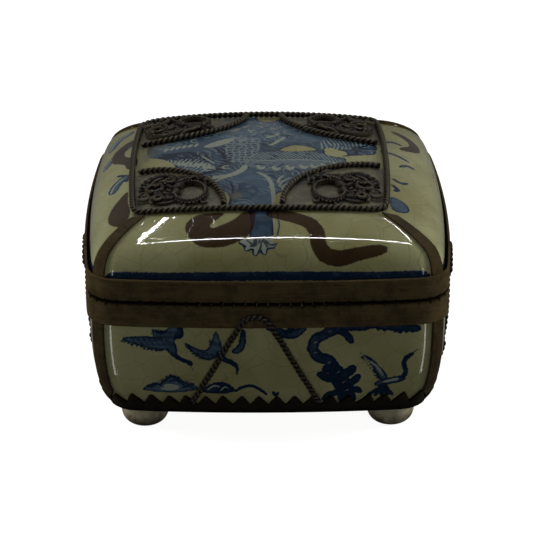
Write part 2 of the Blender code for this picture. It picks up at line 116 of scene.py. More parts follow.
# What follows from them
PORCELAIN_HALF = HALF - STRIP - FIT
LEDGE_Z = FOOT_HEIGHT + BASE_HEIGHT
JOINT_Z = LEDGE_Z + FIT + STRIP
LID_STRIP_Z = JOINT_Z + FIT
LID_Z = LID_STRIP_Z + STRIP + FIT
DOME_Z = LID_Z + LID_UPRIGHT
DOME_HALF = PORCELAIN_HALF - LID_TUCK
LIP_OUTER = PORCELAIN_HALF - LID_WALL - LIP_CLEARANCE
LIP_INNER = LIP_OUTER - LIP_THICKNESS
BASE_STRIP_Z = JOINT_Z - STRIP_HEIGHT
LID_STRIP_TOP = LID_STRIP_Z + STRIP_HEIGHT
FRAME_HALF = HALF - FRAME_MARGIN
FRAME_CORNER = FRAME_HALF - FRAME_SWELL
TOOTH_ROOT_Z = FOOT_HEIGHT + FOOT_STRIP_LIFT + FOOT_STRIP_HEIGHT
TOOTH_TIP_Z = TOOTH_ROOT_Z + TOOTH_HEIGHT
SOFTENED = 1 - math.sqrt(0.5)  # how far in a round edge's middle lies, as a share of its radius
MM = 0.001
FAR = -3.0  # a painted place's depth inside a stroke where no stroke is near, in millimetres

# Paints, bare clay and dirt
PALE_PAINT = (0.42, 0.50, 0.47)
WHITE_PAINT = (0.50, 0.55, 0.44)
DUST = (0.19, 0.175, 0.125)
BARE_CLAY = (0.60, 0.54, 0.38)
FOOT_BOTTOM_BROWN = (0.07, 0.042, 0.018)
CRACK_DIRT = (0.08, 0.065, 0.035)
PIT_DIRT = (0.09, 0.07, 0.04)


def colour_setting(name, description, default):
    return bpy.props.FloatVectorProperty(
        name=name, description=description, subtype="COLOR", size=3, default=default
    )


def length_setting(name, description, default, shortest):
    return bpy.props.FloatProperty(
        name=name, description=description, unit="LENGTH", default=default, min=shortest
    )


def power_setting(name, description, default):
    return bpy.props.FloatProperty(name=name, description=description, unit="POWER", default=default, min=0)


class GlazeSettings(bpy.types.PropertyGroup):
    clay: colour_setting("Glaze", "Colour of the bare glaze", (0.53, 0.525, 0.275))
    light_blue: colour_setting("Thin blue", "Colour of the blue wash", (0.15, 0.24, 0.335))
    dark_blue: colour_setting("Deep blue", "Colour of the blue where it is thick", (0.010, 0.028, 0.068))
    brown: colour_setting("Brown", "Colour of the iron brown", (0.042, 0.012, 0.007))
    crackle: length_setting("Crackle", "Width of one cell of the crackle", 0.0078, 0.001)
    fineness: bpy.props.IntProperty(
        name="Fineness", description="Faces across the outside of the lid", default=270, min=60
    )


class MetalSettings(bpy.types.PropertyGroup):
    sheet: colour_setting("Sheet", "Colour of the strips and straps", (0.138, 0.097, 0.040))
    wire: colour_setting("Wire", "Colour of the wires and dragons", (0.052, 0.043, 0.027))
    twist: length_setting("Twist", "Length of one full turn of the wire's two strands", 0.0036, 0.001)
    notch_pitch: length_setting("Notches", "Distance between the notches of the rim strips", 0.0062, 0.002)


class StageSettings(bpy.types.PropertyGroup):
    overhead: power_setting("Overhead light", "Power of the large soft light above", 1.4)
    front: power_setting("Front light", "Power of the soft light before the box", 0.92)
    sides: power_setting("Side lights", "Power of the soft light on each side", 3.4)
    edges: power_setting("Edge strips", "Power of each strip seen beside the base straps", 0.38)
    ring: power_setting("Strip lights", "Power of each metre of the thin lights above", 3.0)


# Plan, wall and dome


def plan_radius(angle, half, swell, cut):
    """Distance from the middle to the outline of a square plan with swelling sides and cut corners."""
    folded = angle % (math.pi / 2)
    folded = min(folded, math.pi / 2 - folded)
    across, along = math.cos(folded), math.sin(folded)
    end = half - swell
    curve = swell / (end - cut) ** 2 * along**2
    side = half / across
    if curve > 1e-9:
        side = (math.sqrt(across**2 + 4 * curve * half) - across) / (2 * curve)
    corner = (2 * end - cut) / (across + along)
    near, far = min(side, corner), max(side, corner)
    return near * (1 + (near / far) ** CORNER_SHARPNESS) ** (-1 / CORNER_SHARPNESS)


def box_share(angle):
    """The box's outline in this direction, as a share of its half width."""
    return plan_radius(angle, HALF, SIDE_SWELL, CORNER_CUT) / HALF


def outline_point(half, angle, z):
    """A point of the box's outline with this half width at this height, in this direction."""
    radius = half * box_share(angle)
    return Vector((radius * math.cos(angle), radius * math.sin(angle), z))


def outline_directions(count):
    """Evenly spaced directions by length round the box, not by angle."""
    fine = np.linspace(0, 2 * math.pi, 2881)
    share = np.array([box_share(a) for a in fine])
    steps = np.hypot(np.diff(share * np.cos(fine)), np.diff(share * np.sin(fine)))
    run = np.concatenate([[0], np.cumsum(steps)])
    return np.interp(np.arange(count) / count * run[-1], run, fine).tolist()


def wall_half(z):
    """Half width of the base's outer wall at height z."""
    share = (LEDGE_Z - z) / BASE_HEIGHT
    return PORCELAIN_HALF - BASE_DRAW_IN * max(share, 0) ** DRAW_IN_POWER


def wall_point(angle, z, lift):
    """A point over the base's outer wall, lifted straight out."""
    return outline_point(wall_half(z) + lift, angle, z)


def dome_rise(share, corner):
    """Height of the dome, as a share of its rise, at this share of the way to the rim."""
    gauge = share * (corner + (1 - corner) * share**DOME_SQUARING)
    return max(1 - gauge**DOME_POWER, 0) ** (1 / DOME_POWER)


def dome_point(angle, turn, half=DOME_HALF, rise=LID_RISE):
    """A point on the dome. The turn goes from 0 at the rim to a quarter turn at the top."""
    share = max(math.cos(turn), 0) ** (2 / DOME_POWER)
    corner = box_share(angle)
    radius = share * half * corner
    return Vector((radius * math.cos(angle), radius * math.sin(angle), DOME_Z + rise * dome_rise(share,
            corner)))


def dome_normal(angle, turn):
    """The way straight out of the dome there."""
    step = 1e-4
    round_box = dome_point(angle + step, turn) - dome_point(angle - step, turn)
    up_dome = dome_point(angle, turn + step) - dome_point(angle, turn - step)
    return round_box.cross(up_dome).normalized()


def over_lid(x, y):
    """The point on the dome above this place in plan, and the way straight out of it."""
    angle = math.atan2(y, x)
    share = math.hypot(x, y) / (DOME_HALF * box_share(angle))
    turn = math.acos(share ** (DOME_POWER / 2))
    return dome_point(angle, turn), dome_normal(angle, turn)


def turn_at_height(angle, z):
    """How far up the dome's profile in this direction the height z lies."""
    low, high = 0.0, math.pi / 2
    for _ in range(40):
        middle = (low + high) / 2
        low, high = (middle, high) if dome_point(angle, middle).z < z else (low, middle)
    return low


def corner_signs(degrees):
    """Whether this corner is towards +X or -X, and towards +Y or -Y."""
    angle = math.radians(degrees)
    return math.copysign(1, math.cos(angle)), math.copysign(1, math.sin(angle))


def from_frame_corner(degrees, along_x, along_y):
    """The point on the dome this far from the wire frame's corner towards its middle, and the way out."""
    sign_x, sign_y = corner_signs(degrees)
    return over_lid(sign_x * (FRAME_CORNER - along_x) - FRAME_SHIFT, sign_y * (FRAME_CORNER - along_y))


def arc_reach(degrees):
    """How far a corner's arc reaches along X and along Y."""
    sign_x, sign_y = corner_signs(degrees)
    width_x, middle_x = ARC_OPENINGS["front" if sign_y < 0 else "back"]
    width_y, middle_y = ARC_OPENINGS["left" if sign_x < 0 else "right"]
    return FRAME_CORNER - width_x / 2 - sign_x * middle_x, FRAME_CORNER - width_y / 2 - sign_y * middle_y


def smooth_route(points, steps):
    """Points on one smooth curve through the given ones, each of any number of values."""
    ends = [points[0], *points, points[-1]]
    route = []
    for p0, p1, p2, p3 in zip(ends, ends[1:], ends[2:], ends[3:]):
        for step in range(steps):
            t = step / steps
            route.append([
                0.5 * (2 * b + (c - a) * t + (2 * a - 5 * b + 4 * c - d) * t**2 + (3 * b - a - 3 * c + d) * t**3)
                for a, b, c, d in zip(p0, p1, p2, p3)
            ])
    return [*route, list(points[-1])]


# Meshes


def extruded(loops, capped=False):
    """A bmesh of one closed loop extruded through the others, and back to the first if it isn't capped."""
    bm = bmesh.new()
    verts = [bm.verts.new(p) for p in loops[0]]
    edges = [bm.edges.new((a, b)) for a, b in zip(verts, [*verts[1:], verts[0]])]
    if capped:
        bm.faces.new(verts)
    for loop in [*loops[1:]] + ([] if capped else [loops[0]]):
        verts, edges = next_loop(bm, verts, edges, loop)
    if capped:
        bm.faces.new(verts)
    return bm


def next_loop(bm, verts, edges, loop):
    """Extrudes a loop of edges to these places. Gives back its verts and edges in the same order."""
    moved = bmesh.ops.extrude_edge_only(bm, edges=edges)["geom"]
    new = {v for v in moved if isinstance(v, bmesh.types.BMVert)}
    edges = [e for e in moved if isinstance(e, bmesh.types.BMEdge) and new.issuperset(e.verts)]
    above = [next(e.other_vert(v) for e in v.link_edges if e.other_vert(v) in new) for v in verts]
    for v, p in zip(above, loop):
        v.co = p
    return above, edges


def to_object(name, bm, material, replaced, smooth_angle=40, tidy=True):
    """Turns a bmesh into a finished piece that rides on the box and stands for these nodes."""
    if tidy:
        bmesh.ops.remove_doubles(bm, verts=bm.verts, dist=1e-7)
        bmesh.ops.recalc_face_normals(bm, faces=bm.faces)
    mesh = bpy.data.meshes.new(name)
    bm.to_mesh(mesh)
    bm.free()
    mesh.materials.append(material)
    mesh.shade_smooth()
    mesh.set_sharp_from_angle(angle=math.radians(smooth_angle))
    piece = bpy.data.objects.new(name, mesh)
    bpy.context.scene.collection.objects.link(piece)
    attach(piece, "root")
    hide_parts(*replaced)
    return piece


def give(mesh, name, values):
    """Stores one number for each vertex."""
    mesh.attributes.new(name, "FLOAT", "POINT").data.foreach_set("value", np.asarray(values, np.float32))


# Shader maths


class Value:
    """A socket of a tree's nodes, with the arithmetic that the finishes use."""

    def __init__(self, nodes, socket):
        self.nodes = nodes
        self.socket = socket

    def maths(self, operation, *values):
        return self.nodes.node("ShaderNodeMath", {"operation": operation}, dict(enumerate(values)))[0]

    def __add__(self, other):
        return self.maths("ADD", self, other)

    def __sub__(self, other):
        return self.maths("SUBTRACT", self, other)

    def __rsub__(self, other):
        return self.maths("SUBTRACT", other, self)

    def __mul__(self, other):
        return self.maths("MULTIPLY", self, other)

    __radd__ = __add__
    __rmul__ = __mul__

    def between(self, low, high, least=0.0, most=1.0):
        """The least up to low, the most from high on, and a soft step between them."""
        inputs = {"Value": self, "From Min": low, "From Max": high, "To Min": least, "To Max": most}
        return self.nodes.node("ShaderNodeMapRange", {"interpolation_type": "SMOOTHSTEP"}, inputs)[0]


class Nodes:
    """The nodes of a material or of the surroundings, made by calls."""

    def __init__(self, tree):
        self.tree = tree

    def node(self, kind, settings, inputs):
        """Adds a node. Settings come first, then the values or links of its sockets. Gives its outputs."""
        node = self.tree.nodes.new(kind)
        for key, setting in settings.items():
            setattr(node, key, setting)
        for key, value in inputs.items():
            self.feed(node.inputs[key], value)
        return Outputs(self, node)

    def feed(self, socket, value):
        if isinstance(value, Value):
            self.tree.links.new(value.socket, socket)
        elif isinstance(value, tuple) and socket.type == "RGBA" and len(value) == 3:
            socket.default_value = (*value, 1)
        else:
            socket.default_value = value


class Finish(Nodes):
    """A material, with the textures that the finishes are made of."""

    def __init__(self, name):
        self.material = bpy.data.materials.new(name)
        self.material.use_nodes = True
        super().__init__(self.material.node_tree)
        self.shader = self.tree.nodes["Principled BSDF"]
        self.place = self.node("ShaderNodeTexCoord", {}, {})["Object"]

    def attribute(self, name):
        return self.node("ShaderNodeAttribute", {"attribute_name": name}, {})["Fac"]

    def noise(self, size, detail=2.0, roughness=0.5, place=None):
        """Soft mottling, from 0 to 1, whose lumps are about this size."""
        inputs = {"Vector": place or self.place, "Scale": 1 / size, "Detail": detail, "Roughness": roughness}
        return self.node("ShaderNodeTexNoise", {}, inputs)["Fac"]

    def cells(self, size, feature="F1", place=None, jitter=1.0):
        """Distance from the middle or the edge of the nearest cell, for cells of about this size."""
        inputs = {"Vector": place or self.place, "Scale": 1 / size, "Randomness": jitter}
        return self.node("ShaderNodeTexVoronoi", {"feature": feature}, inputs)["Distance"]

    def wobbled(self, size, amount):
        """The place on the piece, pushed about by mottling of this size."""
        mottling = {"Vector": self.place, "Scale": 1 / size, "Detail": 2.0}
        push = self.node("ShaderNodeTexNoise", {}, mottling)["Color"]
        middle = (0.5, 0.5, 0.5)
        centred = self.node("ShaderNodeVectorMath", {"operation": "SUBTRACT"}, {0: push, 1: middle})[0]
        scaled = self.node("ShaderNodeVectorMath", {"operation": "SCALE"}, {0: centred, "Scale": amount})[0]
        return self.node("ShaderNodeVectorMath", {"operation": "ADD"}, {0: self.place, 1: scaled})[0]

    def mix(self, first, second, factor):
        """A colour between two."""
        settings = {"data_type": "RGBA", "clamp_factor": True}
        return self.node("ShaderNodeMix", settings, {0: factor, 6: first, 7: second})[2]

    def bump(self, height, depth, strength, normal=None):
        inputs = {"Height": height, "Distance": depth, "Strength": strength}
        if normal:
            inputs["Normal"] = normal
        return self.node("ShaderNodeBump", {}, inputs)[0]

    def surface(self, **sockets):
        """Feeds the shader's sockets, named with underscores for spaces."""
        for key, value in sockets.items():
            self.feed(self.shader.inputs[key.replace("_", " ")], value)
        return self.material


class Outputs:
    """A node's outputs by name or number."""

    def __init__(self, nodes, node):
        self.nodes = nodes
        self.node = node

    def __getitem__(self, key):
        return Value(self.nodes, self.node.outputs[key])


def shaded(colour, *shares):
    """A colour made darker or brighter, by one share for all of it or one each for red, green and blue."""
    return tuple(min(c * share, 1) for c, share in zip(colour, shares * 3))


def bare_glaze(finish, clay):
    """The greenish cream of the glaze, clouded and finely speckled. Gives the speckle too."""
    cloud = finish.noise(0.03, 3.0, 0.6)
    speckle = finish.noise(0.0012, 3.0, 0.7)
    colour = finish.mix(shaded(clay, 0.80, 0.76, 0.62), shaded(clay, 1.10), cloud.between(0.3, 0.7))
    return finish.mix(colour, shaded(clay, 0.8, 0.72, 0.6), speckle.between(0.52, 0.85) * 0.35), speckle


def blue_wash(finish, settings, blue, grit, pooled):
    """The blue from thin to thick, darker along its outline, flecked, streaked, combed and scaled."""
    dark = tuple(settings.dark_blue)
    thickness, combed = finish.attribute("tone"), finish.attribute("combed")
    outline = blue.between(-0.1, 0.15) * (1 - blue.between(0.35, 0.95))
    tone = thickness + (pooled - 0.5) * 0.7 + (grit - 0.5) * 0.5 + outline * 0.4
    wash = finish.mix(tuple(settings.light_blue), dark, tone.between(0.0, 1.0))
    flecks = grit.between(0.56, 0.74) * (1 - thickness).between(0.22, 0.7)
    wash = finish.mix(wash, PALE_PAINT, flecks * 0.5)
    flow = finish.node(
        "ShaderNodeTexWave",
        {"wave_type": "BANDS", "bands_direction": "DIAGONAL"},
        {"Vector": finish.wobbled(0.010, 0.010), "Scale": 190.0, "Distortion": 5.0, "Detail": 2.0,
                "Detail Scale": 1.6},
    )["Fac"]
    patches = finish.noise(0.008).between(0.40, 0.60) * finish.attribute("busy").between(0.0, 0.6)
    wash = finish.mix(wash, PALE_PAINT, flow.between(0.72, 0.98) * patches * 0.42 * (1 - combed))
    wash = finish.mix(wash, dark, (1 - flow.between(0.02, 0.24)) * patches * 0.4)
    comb = finish.attribute("comb")
    swing = comb.maths("SINE", comb * (2 * math.pi) + (finish.noise(0.006, 3.0) - 0.5) * 11.0)
    broken = finish.noise(0.0022, 3.0).between(0.36, 0.46)
    wash = finish.mix(wash, PALE_PAINT, swing.between(-0.1, 0.75) * combed.between(0.0, 0.5) * broken * 0.95)
    scale_edge = finish.cells(0.0021, "DISTANCE_TO_EDGE", finish.wobbled(0.004, 0.001), 0.55)
    scales = (1 - scale_edge.between(0.04, 0.2)) * finish.attribute("scaled").between(0.0, 0.6)
    return finish.mix(wash, PALE_PAINT, scales * 0.75)


def brushwork(finish, settings, colour):
    """The painting over the glaze: blue with pale and dark lines, brown, and the dust that lies on them."""
    edge = (finish.noise(0.0009, 3.0, 0.7) - 0.5) * 1.15
    grit = finish.noise(0.0008, 4.0, 0.8)
    pooled = finish.noise(0.0045, 3.0, 0.6)
    blue = finish.attribute("blue") + edge
    ink = (finish.attribute("ink") + edge * 0.3).between(-0.12, 0.16)
    white = (finish.attribute("white") + edge * 0.35).between(-0.12, 0.16)
    wash = blue_wash(finish, settings, blue, grit, pooled)
    wash = finish.mix(wash, WHITE_PAINT, white * 0.92)
    wash = finish.mix(wash, tuple(settings.dark_blue), ink * 0.85)
    painted = blue.between(-0.15, 0.2) + ink
    colour = finish.mix(colour, wash, painted.maths("MINIMUM", painted, 1.0))
    brown = tuple(settings.brown)
    rust = finish.mix(shaded(brown, 0.6), shaded(brown, 1.35), (pooled * 0.6 + grit * 0.5).between(0.3, 0.8))
    colour = finish.mix(colour, rust, (finish.attribute("brown") + edge * 0.9).between(-0.15, 0.3) * 0.93)
    grime = finish.noise(0.0035, 5.0, 0.7)
    gathered = (finish.attribute("dust") * (grime * 2.2 - 0.3)).between(0.1, 0.95)
    return finish.mix(colour, DUST, gathered * 0.92)


def painted_glaze(name, settings):
    """Crackled glaze over blue and brown painting. The painting's strokes are stored on the piece."""
    finish = Finish(name)
    colour, speckle = bare_glaze(finish, tuple(settings.clay))
    colour = brushwork(finish, settings, colour)
    height = finish.node("ShaderNodeSeparateXYZ", {}, {"Vector": finish.place})["Z"]
    # Darker and browner towards the bottom of the feet.
    towards_foot_bottom = 1 - (height + (finish.noise(0.005, 4.0, 0.7) - 0.5) * 0.012).between(0.0005, 0.0075)
    foot = 1 - height.between(0.0085, 0.0100)
    colour = finish.mix(colour, BARE_CLAY, foot * 0.85)
    colour = finish.mix(colour, FOOT_BOTTOM_BROWN, towards_foot_bottom)
    wobbled = finish.wobbled(0.009, 0.0035)
    wide = finish.cells(settings.crackle, "DISTANCE_TO_EDGE", wobbled)
    narrow = finish.cells(settings.crackle * 0.42, "DISTANCE_TO_EDGE", wobbled)
    cracks = 1 - wide.between(0.006, 0.020)
    fine_cracks = (1 - narrow.between(0.008, 0.03)) * finish.noise(0.014).between(0.35, 0.6)
    colour = finish.mix(colour, CRACK_DIRT, cracks * 0.23 + fine_cracks * 0.10)
    pits = (1 - finish.cells(0.0034).between(0.02, 0.06)) * finish.noise(0.006).between(0.45, 0.6)
    colour = finish.mix(colour, PIT_DIRT, pits * 0.7)
    ripple = finish.noise(0.007) + finish.noise(0.0016, 2.0, 0.6) * 0.14
    normal = finish.bump(1 - cracks, 0.00002, 0.35, finish.bump(ripple, 0.00010, 0.6))
    return finish.surface(
        Base_Color=colour,
        Roughness=0.02 + speckle * 0.03 + pits * 0.3 + foot * 0.85 + finish.attribute("dust") * 0.35,
        Normal=normal,
        IOR=1.52,
        Coat_Weight=0.35 - foot * 0.35,
        Coat_Roughness=0.02,
    )


def aged_and_shaded_sheet(name, colour, dark=0.0):
    """Thin sheet metal gone brown, brushed along its length, with darker stains, rubbed edges, and painted shade
    where the piece's gap attribute is set.
    """
    finish = Finish(name)
    along = finish.node("ShaderNodeMapping", {}, {"Vector": finish.place, "Scale": (0.14, 0.14, 2.4)})[0]
    brushed = finish.noise(0.0011, 4.0, 0.7, along)
    stain = finish.noise(0.007, 5.0, 0.65)
    fleck = finish.noise(0.0008, 3.0, 0.7)
    deep, middle = shaded(colour, 0.30 - 0.15 * dark), shaded(colour, 1.0 - 0.6 * dark)
    shade = finish.mix(deep, middle, (stain * 0.75 + brushed * 0.45 + fleck * 0.15).between(0.40, 0.86))
    rubbed = ((brushed - 0.5) * 1.2 + finish.attribute("worn") * 0.5).between(0.15, 0.9)
    shade = finish.mix(shade, shaded(colour, 1.5, 1.5, 1.45), rubbed * (0.5 - 0.3 * dark))
    # Painted shade: near black where the piece's gap attribute is set.
    shade = finish.mix(shade, shaded(colour, 0.12), finish.attribute("gap").between(0.2, 0.8))
    spots = (1 - finish.cells(0.0042).between(0.03, 0.10)) * finish.noise(0.009).between(0.5, 0.6)
    shade = finish.mix(shade, shaded(colour, 0.2), spots * 0.8)
    normal = finish.bump(fleck, 0.00004, 0.5, finish.bump(brushed * 0.3 + stain, 0.00016, 0.5))
    return finish.surface(
        Base_Color=shade,
        Roughness=0.42 + stain * 0.22 + brushed * 0.1,
        Metallic=0.10,
        Specular_IOR_Level=0.10,
        Normal=normal,
    )


def aged_and_shaded_wire(name, colour):
    """Cast or twisted metal, with painted shade over its dark patina in the hollows, and rubbed crests with a
    painted highlight.
    """
    finish = Finish(name)
    crest = finish.attribute("crest")
    stain = finish.noise(0.004, 4.0, 0.65)
    fleck = finish.noise(0.0005, 3.0, 0.7)
    # Painted shade over the dark patina: almost black in the hollows and on the side towards the glaze.
    hollow = (crest + (stain - 0.5) * 0.4).between(0.30, 0.85)
    shade = finish.mix(shaded(colour, 0.03), colour, hollow)
    # Painted highlight with some wear: the crests lighten to more than twice the colour.
    rubbed = (crest + (fleck - 0.5) * 0.6).between(0.70, 1.15)
    shade = finish.mix(shade, shaded(colour, 2.6), rubbed * 0.8)
    return finish.surface(
        Base_Color=shade,
        Roughness=0.62 - crest * 0.22 + (fleck - 0.5) * 0.2,
        Metallic=0.12,
        Specular_IOR_Level=0.22,
        Normal=finish.bump(fleck, 0.00006, 0.6),
    )


# Painting, in millimetres on the unrolled surface


STROKES = ("blue", "ink", "white", "brown")
MASKS = ("tone", "comb", "combed", "scaled", "busy", "dust")


def from_line(x, y, a, b):
    """How far each place lies from the line between two points, and how far along it the nearest point is."""
    step = b - a
    done = np.clip(((x - a[0]) * step[0] + (y - a[1]) * step[1]) / max(step @ step, 1e-9), 0, 1)
    return np.hypot(x - a[0] - done * step[0], y - a[1] - done * step[1]), done


class Painting:
    """Brushwork: how deep each place of a surface lies inside each kind of stroke, negative outside."""

    def __init__(self, across, up):
        self.across = np.asarray(across)
        self.up = np.asarray(up)
        self.layers = {name: np.full(self.across.size, FAR) for name in STROKES}
        for name in MASKS:
            self.layers[name] = np.zeros(self.across.size)

    def lay(self, layer, depth, tone):
        """Adds strokes to a layer. A tone, from 0 for thin to 1 for thick, also covers what is below it."""
        self.layers[layer] = np.maximum(self.layers[layer], depth)
        if tone is not None:
            cover = np.clip(depth / 0.6 + 0.5, 0, 1)
            for name, value in (("tone", tone), ("combed", 0), ("scaled", 0)):
                self.layers[name] = self.layers[name] * (1 - cover) + value * cover

    def near(self, low, high):
        """Which places may be touched by what lies between these two corners."""
        low, high = low + FAR, high - FAR
        across, up = self.across, self.up
        return np.nonzero((across > low[0]) & (across < high[0]) & (up > low[1]) & (up < high[1]))[0]

    def stroke_depth(self, width, points, ends=(0.35, 0.35)):
        """Depth inside one brush stroke through these points, narrower towards its ends."""
        route = np.array(smooth_route(points, 4))
        share = np.linspace(0, 1, len(route))
        start = ends[0] + (1 - ends[0]) * np.sqrt(np.clip(share / 0.25, 0, 1))
        end = ends[1] + (1 - ends[1]) * np.sqrt(np.clip((1 - share) / 0.25, 0, 1))
        half = width / 2 * start * end
        depth = np.full(self.across.size, FAR)
        for a, b, half_a, half_b in zip(route, route[1:], half, half[1:]):
            reach = max(half_a, half_b)
            near = self.near(np.minimum(a, b) - reach, np.maximum(a, b) + reach)
            away, done = from_line(self.across[near], self.up[near], a, b)
            depth[near] = np.maximum(depth[near], half_a + (half_b - half_a) * done - away)
        return depth

    def area_depth(self, points):
        """Depth inside a closed, smooth outline through these points."""
        steps = 4
        around = [points[-1], *points, points[0], points[1]]
        route = np.array(smooth_route(around, steps))[steps : steps * (len(points) + 1) + 1]
        near = self.near(route.min(axis=0), route.max(axis=0))
        x, y = self.across[near], self.up[near]
        inside = np.zeros(near.size, bool)
        away = np.full(near.size, -FAR)
        for a, b in zip(route, route[1:]):
            away = np.minimum(away, from_line(x, y, a, b)[0])
            if a[1] != b[1]:
                crossed = (a[1] > y) != (b[1] > y)
                inside ^= crossed & (x < a[0] + (y - a[1]) * (b[0] - a[0]) / (b[1] - a[1]))
        depth = np.full(self.across.size, FAR)
        depth[near] = np.where(inside, away, -away)
        return depth

    def stroke(self, layer, width, points, tone=None, ends=(0.35, 0.35)):
        self.lay(layer, self.stroke_depth(width, points, ends), tone)

    def area(self, layer, points, tone=None):
        self.lay(layer, self.area_depth(points), tone)

    def combing(self, points, centre, spacing):
        """Fine pale lines inside this outline, curved round a centre."""
        cover = np.clip(self.area_depth(points) / 0.8, 0, 1)
        away = np.hypot(self.across - centre[0], self.up - centre[1]) / spacing
        self.layers["comb"] = np.where(cover > 0, away, self.layers["comb"])
        self.layers["combed"] = np.maximum(self.layers["combed"] * (cover == 0), cover)

    def scales(self, points):
        scaled = np.clip(self.area_depth(points) / 0.8, 0, 1)
        self.layers["scaled"] = np.maximum(self.layers["scaled"], scaled)

    def store(self, mesh):
        for name, values in self.layers.items():
            give(mesh, name, values)


class Motif:
    """A place, size and facing on a painting for a figure that is drawn more than once."""

    def __init__(self, painting, across, up, size=1.0, mirrored=False):
        self.painting = painting
        self.across, self.up = across, up
        self.size = size
        self.facing = -1 if mirrored else 1

    def placed(self, points):
        return [(self.across + self.size * self.facing * x, self.up + self.size * y) for x, y in points]

    def stroke(self, layer, width, points, tone=None, ends=(0.35, 0.35)):
        self.painting.stroke(layer, width * self.size, self.placed(points), tone, ends)

    def area(self, layer, points, tone=None):
        self.painting.area(layer, self.placed(points), tone)


def curl(centre, reach, first, growth, turn, count, start=0.0):
    """Places along a small spiral that opens by an equal share of its reach at each step."""
    points = []
    for k in range(count):
        away = reach * (first + growth * k)
        points.append((centre[0] + away * math.cos(start + turn * k),
                centre[1] + away * math.sin(start + turn * k)))
    return points


def fringe(motif, route, count, length, tone=0.7, width=0.8, sides=(-1, 1)):
    """Short strokes that stand out of a route and lean back, as feathers, needles or knots."""
    points = smooth_route(route, 6)
    for i in range(count):
        k = round((i + 0.5) / count * (len(points) - 2))
        start, ahead = np.array(points[k]), np.subtract(points[k + 1], points[k])
        ahead = ahead / (math.hypot(*ahead) or 1)
        for side in sides:
            reach = length * (0.75 + 0.5 * abs(math.sin(i * 2.3 + side)))
            out = np.array((-ahead[1], ahead[0])) * side * reach
            tip = start + (out - ahead * reach * 0.5) * 0.8
            motif.stroke("blue", width, (start, start + out * 0.5, tip), tone, (1, 0.15))


def diving_crane(motif):
    """A crane gliding down to the right with one wing stretched back and one raised."""
    motif.area("blue", ((-16.8, 1.7), (-9, 2.6), (-3, 1.8), (0.4, -1.2), (-3, -2.2), (-9, -1.5)), 0.34)
    fringe(motif, ((-16, 1.2), (-9, -1.2), (-3, -1.8)), 15, 0.9, 0.6, 0.7, (-1,))
    fringe(motif, ((-6.2, 1), (-6.2, 4.6), (-3, 4.4), (0, 6)), 12, 0.6, 0.5, 0.6, (1,))
    motif.area("blue", ((-6, 0.5), (-6.4, 5), (-3.6, 4.2), (-1, 6.2), (2.6, 5.8), (2.4, 3.4), (0.8, 2.4),
            (-0.4, -1)), 0.30)
    motif.area("blue", ((0.2, 2.8), (2, 6.4), (3, 6), (3.4, 3.4), (1.8, 1.8)), 0.8)
    motif.area("blue", ((-3.2, 0.6), (0.4, 0.6), (1.2, -2.4), (0.5, -4.8), (-1.4, -3.4)), 0.62)
    motif.stroke("blue", 1.6, ((-0.2, -3.4), (2.2, -5.2), (4.6, -6.2)), 0.8, (1, 0.8))
    motif.area("blue", ((3.4, -5.4), (5.6, -5.8), (6, -7.6), (4.4, -7.4)), 0.8)
    motif.stroke("ink", 0.5, ((5, -7), (6.2, -9.6)), None, (1, 0.5))
    motif.stroke("ink", 0.6, ((-16, 1.8), (-9, 2.5), (-3, 1.6)))
    for step in range(7):
        for row in range(2):
            motif.stroke("blue", 0.8, ((-13.4 + 1.8 * step + row, 1.6 - 1.4 * row),
                    (-12.4 + 1.8 * step + row, 0.9 - 1.4 * row)), 0.75)
            motif.stroke("blue", 0.8, ((-5.4 + 1.1 * step, 4.6 - 1.6 * row),
                    (-4.8 + 1.1 * step, 3.6 - 1.6 * row)), 0.75)


def flying_crane(motif):
    """A crane in level flight to the right with both wings up."""
    motif.area("blue", ((-10.8, 4), (-7.6, 2.3), (-4.6, 1.2), (-1.6, 1.8), (0.8, -0.4), (-1, -2), (-4, -2.3),
            (-7, -0.7), (-9.4, 1.8)), 0.5)
    fringe(motif, ((-10, 3), (-6, -1.2), (-2, -2)), 12, 0.7, 0.65, 0.6, (-1,))
    motif.area("blue", ((-3.5, 0.4), (-2.6, 3), (-1.4, 6.4), (-0.4, 8), (0.8, 5), (1.6, 1.4),
            (0.6, 0.2)), 0.36)
    motif.area("blue", ((4.2, 1), (6.4, 3.4), (7.4, 8.4), (8.8, 8), (9, 3.4), (7.6, 0.6), (5.6, -0.2)), 0.6)
    motif.stroke("blue", 2.0, ((0.2, -0.8), (2.6, -2.4), (4.4, -3.2)), 0.75, (1, 0.7))
    motif.area("blue", ((3.6, -2.6), (5.6, -3), (6.7, -5.2), (6.4, -7.6), (5.8, -8), (5.6, -5.4),
            (4.4, -4.4)), 0.8)
    motif.stroke("ink", 0.6, ((-10, 3.5), (-7, 1.4), (-3.6, 0)))
    for step in range(5):
        motif.stroke("blue", 0.7, ((-2.4 + 0.7 * step, 4.8 - 0.3 * step),
                (-2.6 + 0.8 * step, 3.4 - 0.3 * step)), 0.75)
        motif.stroke("blue", 0.7, ((-6.6 + 1.5 * step, 0.4 - 0.2 * step),
                (-5.8 + 1.5 * step, -0.6 - 0.2 * step)), 0.85)


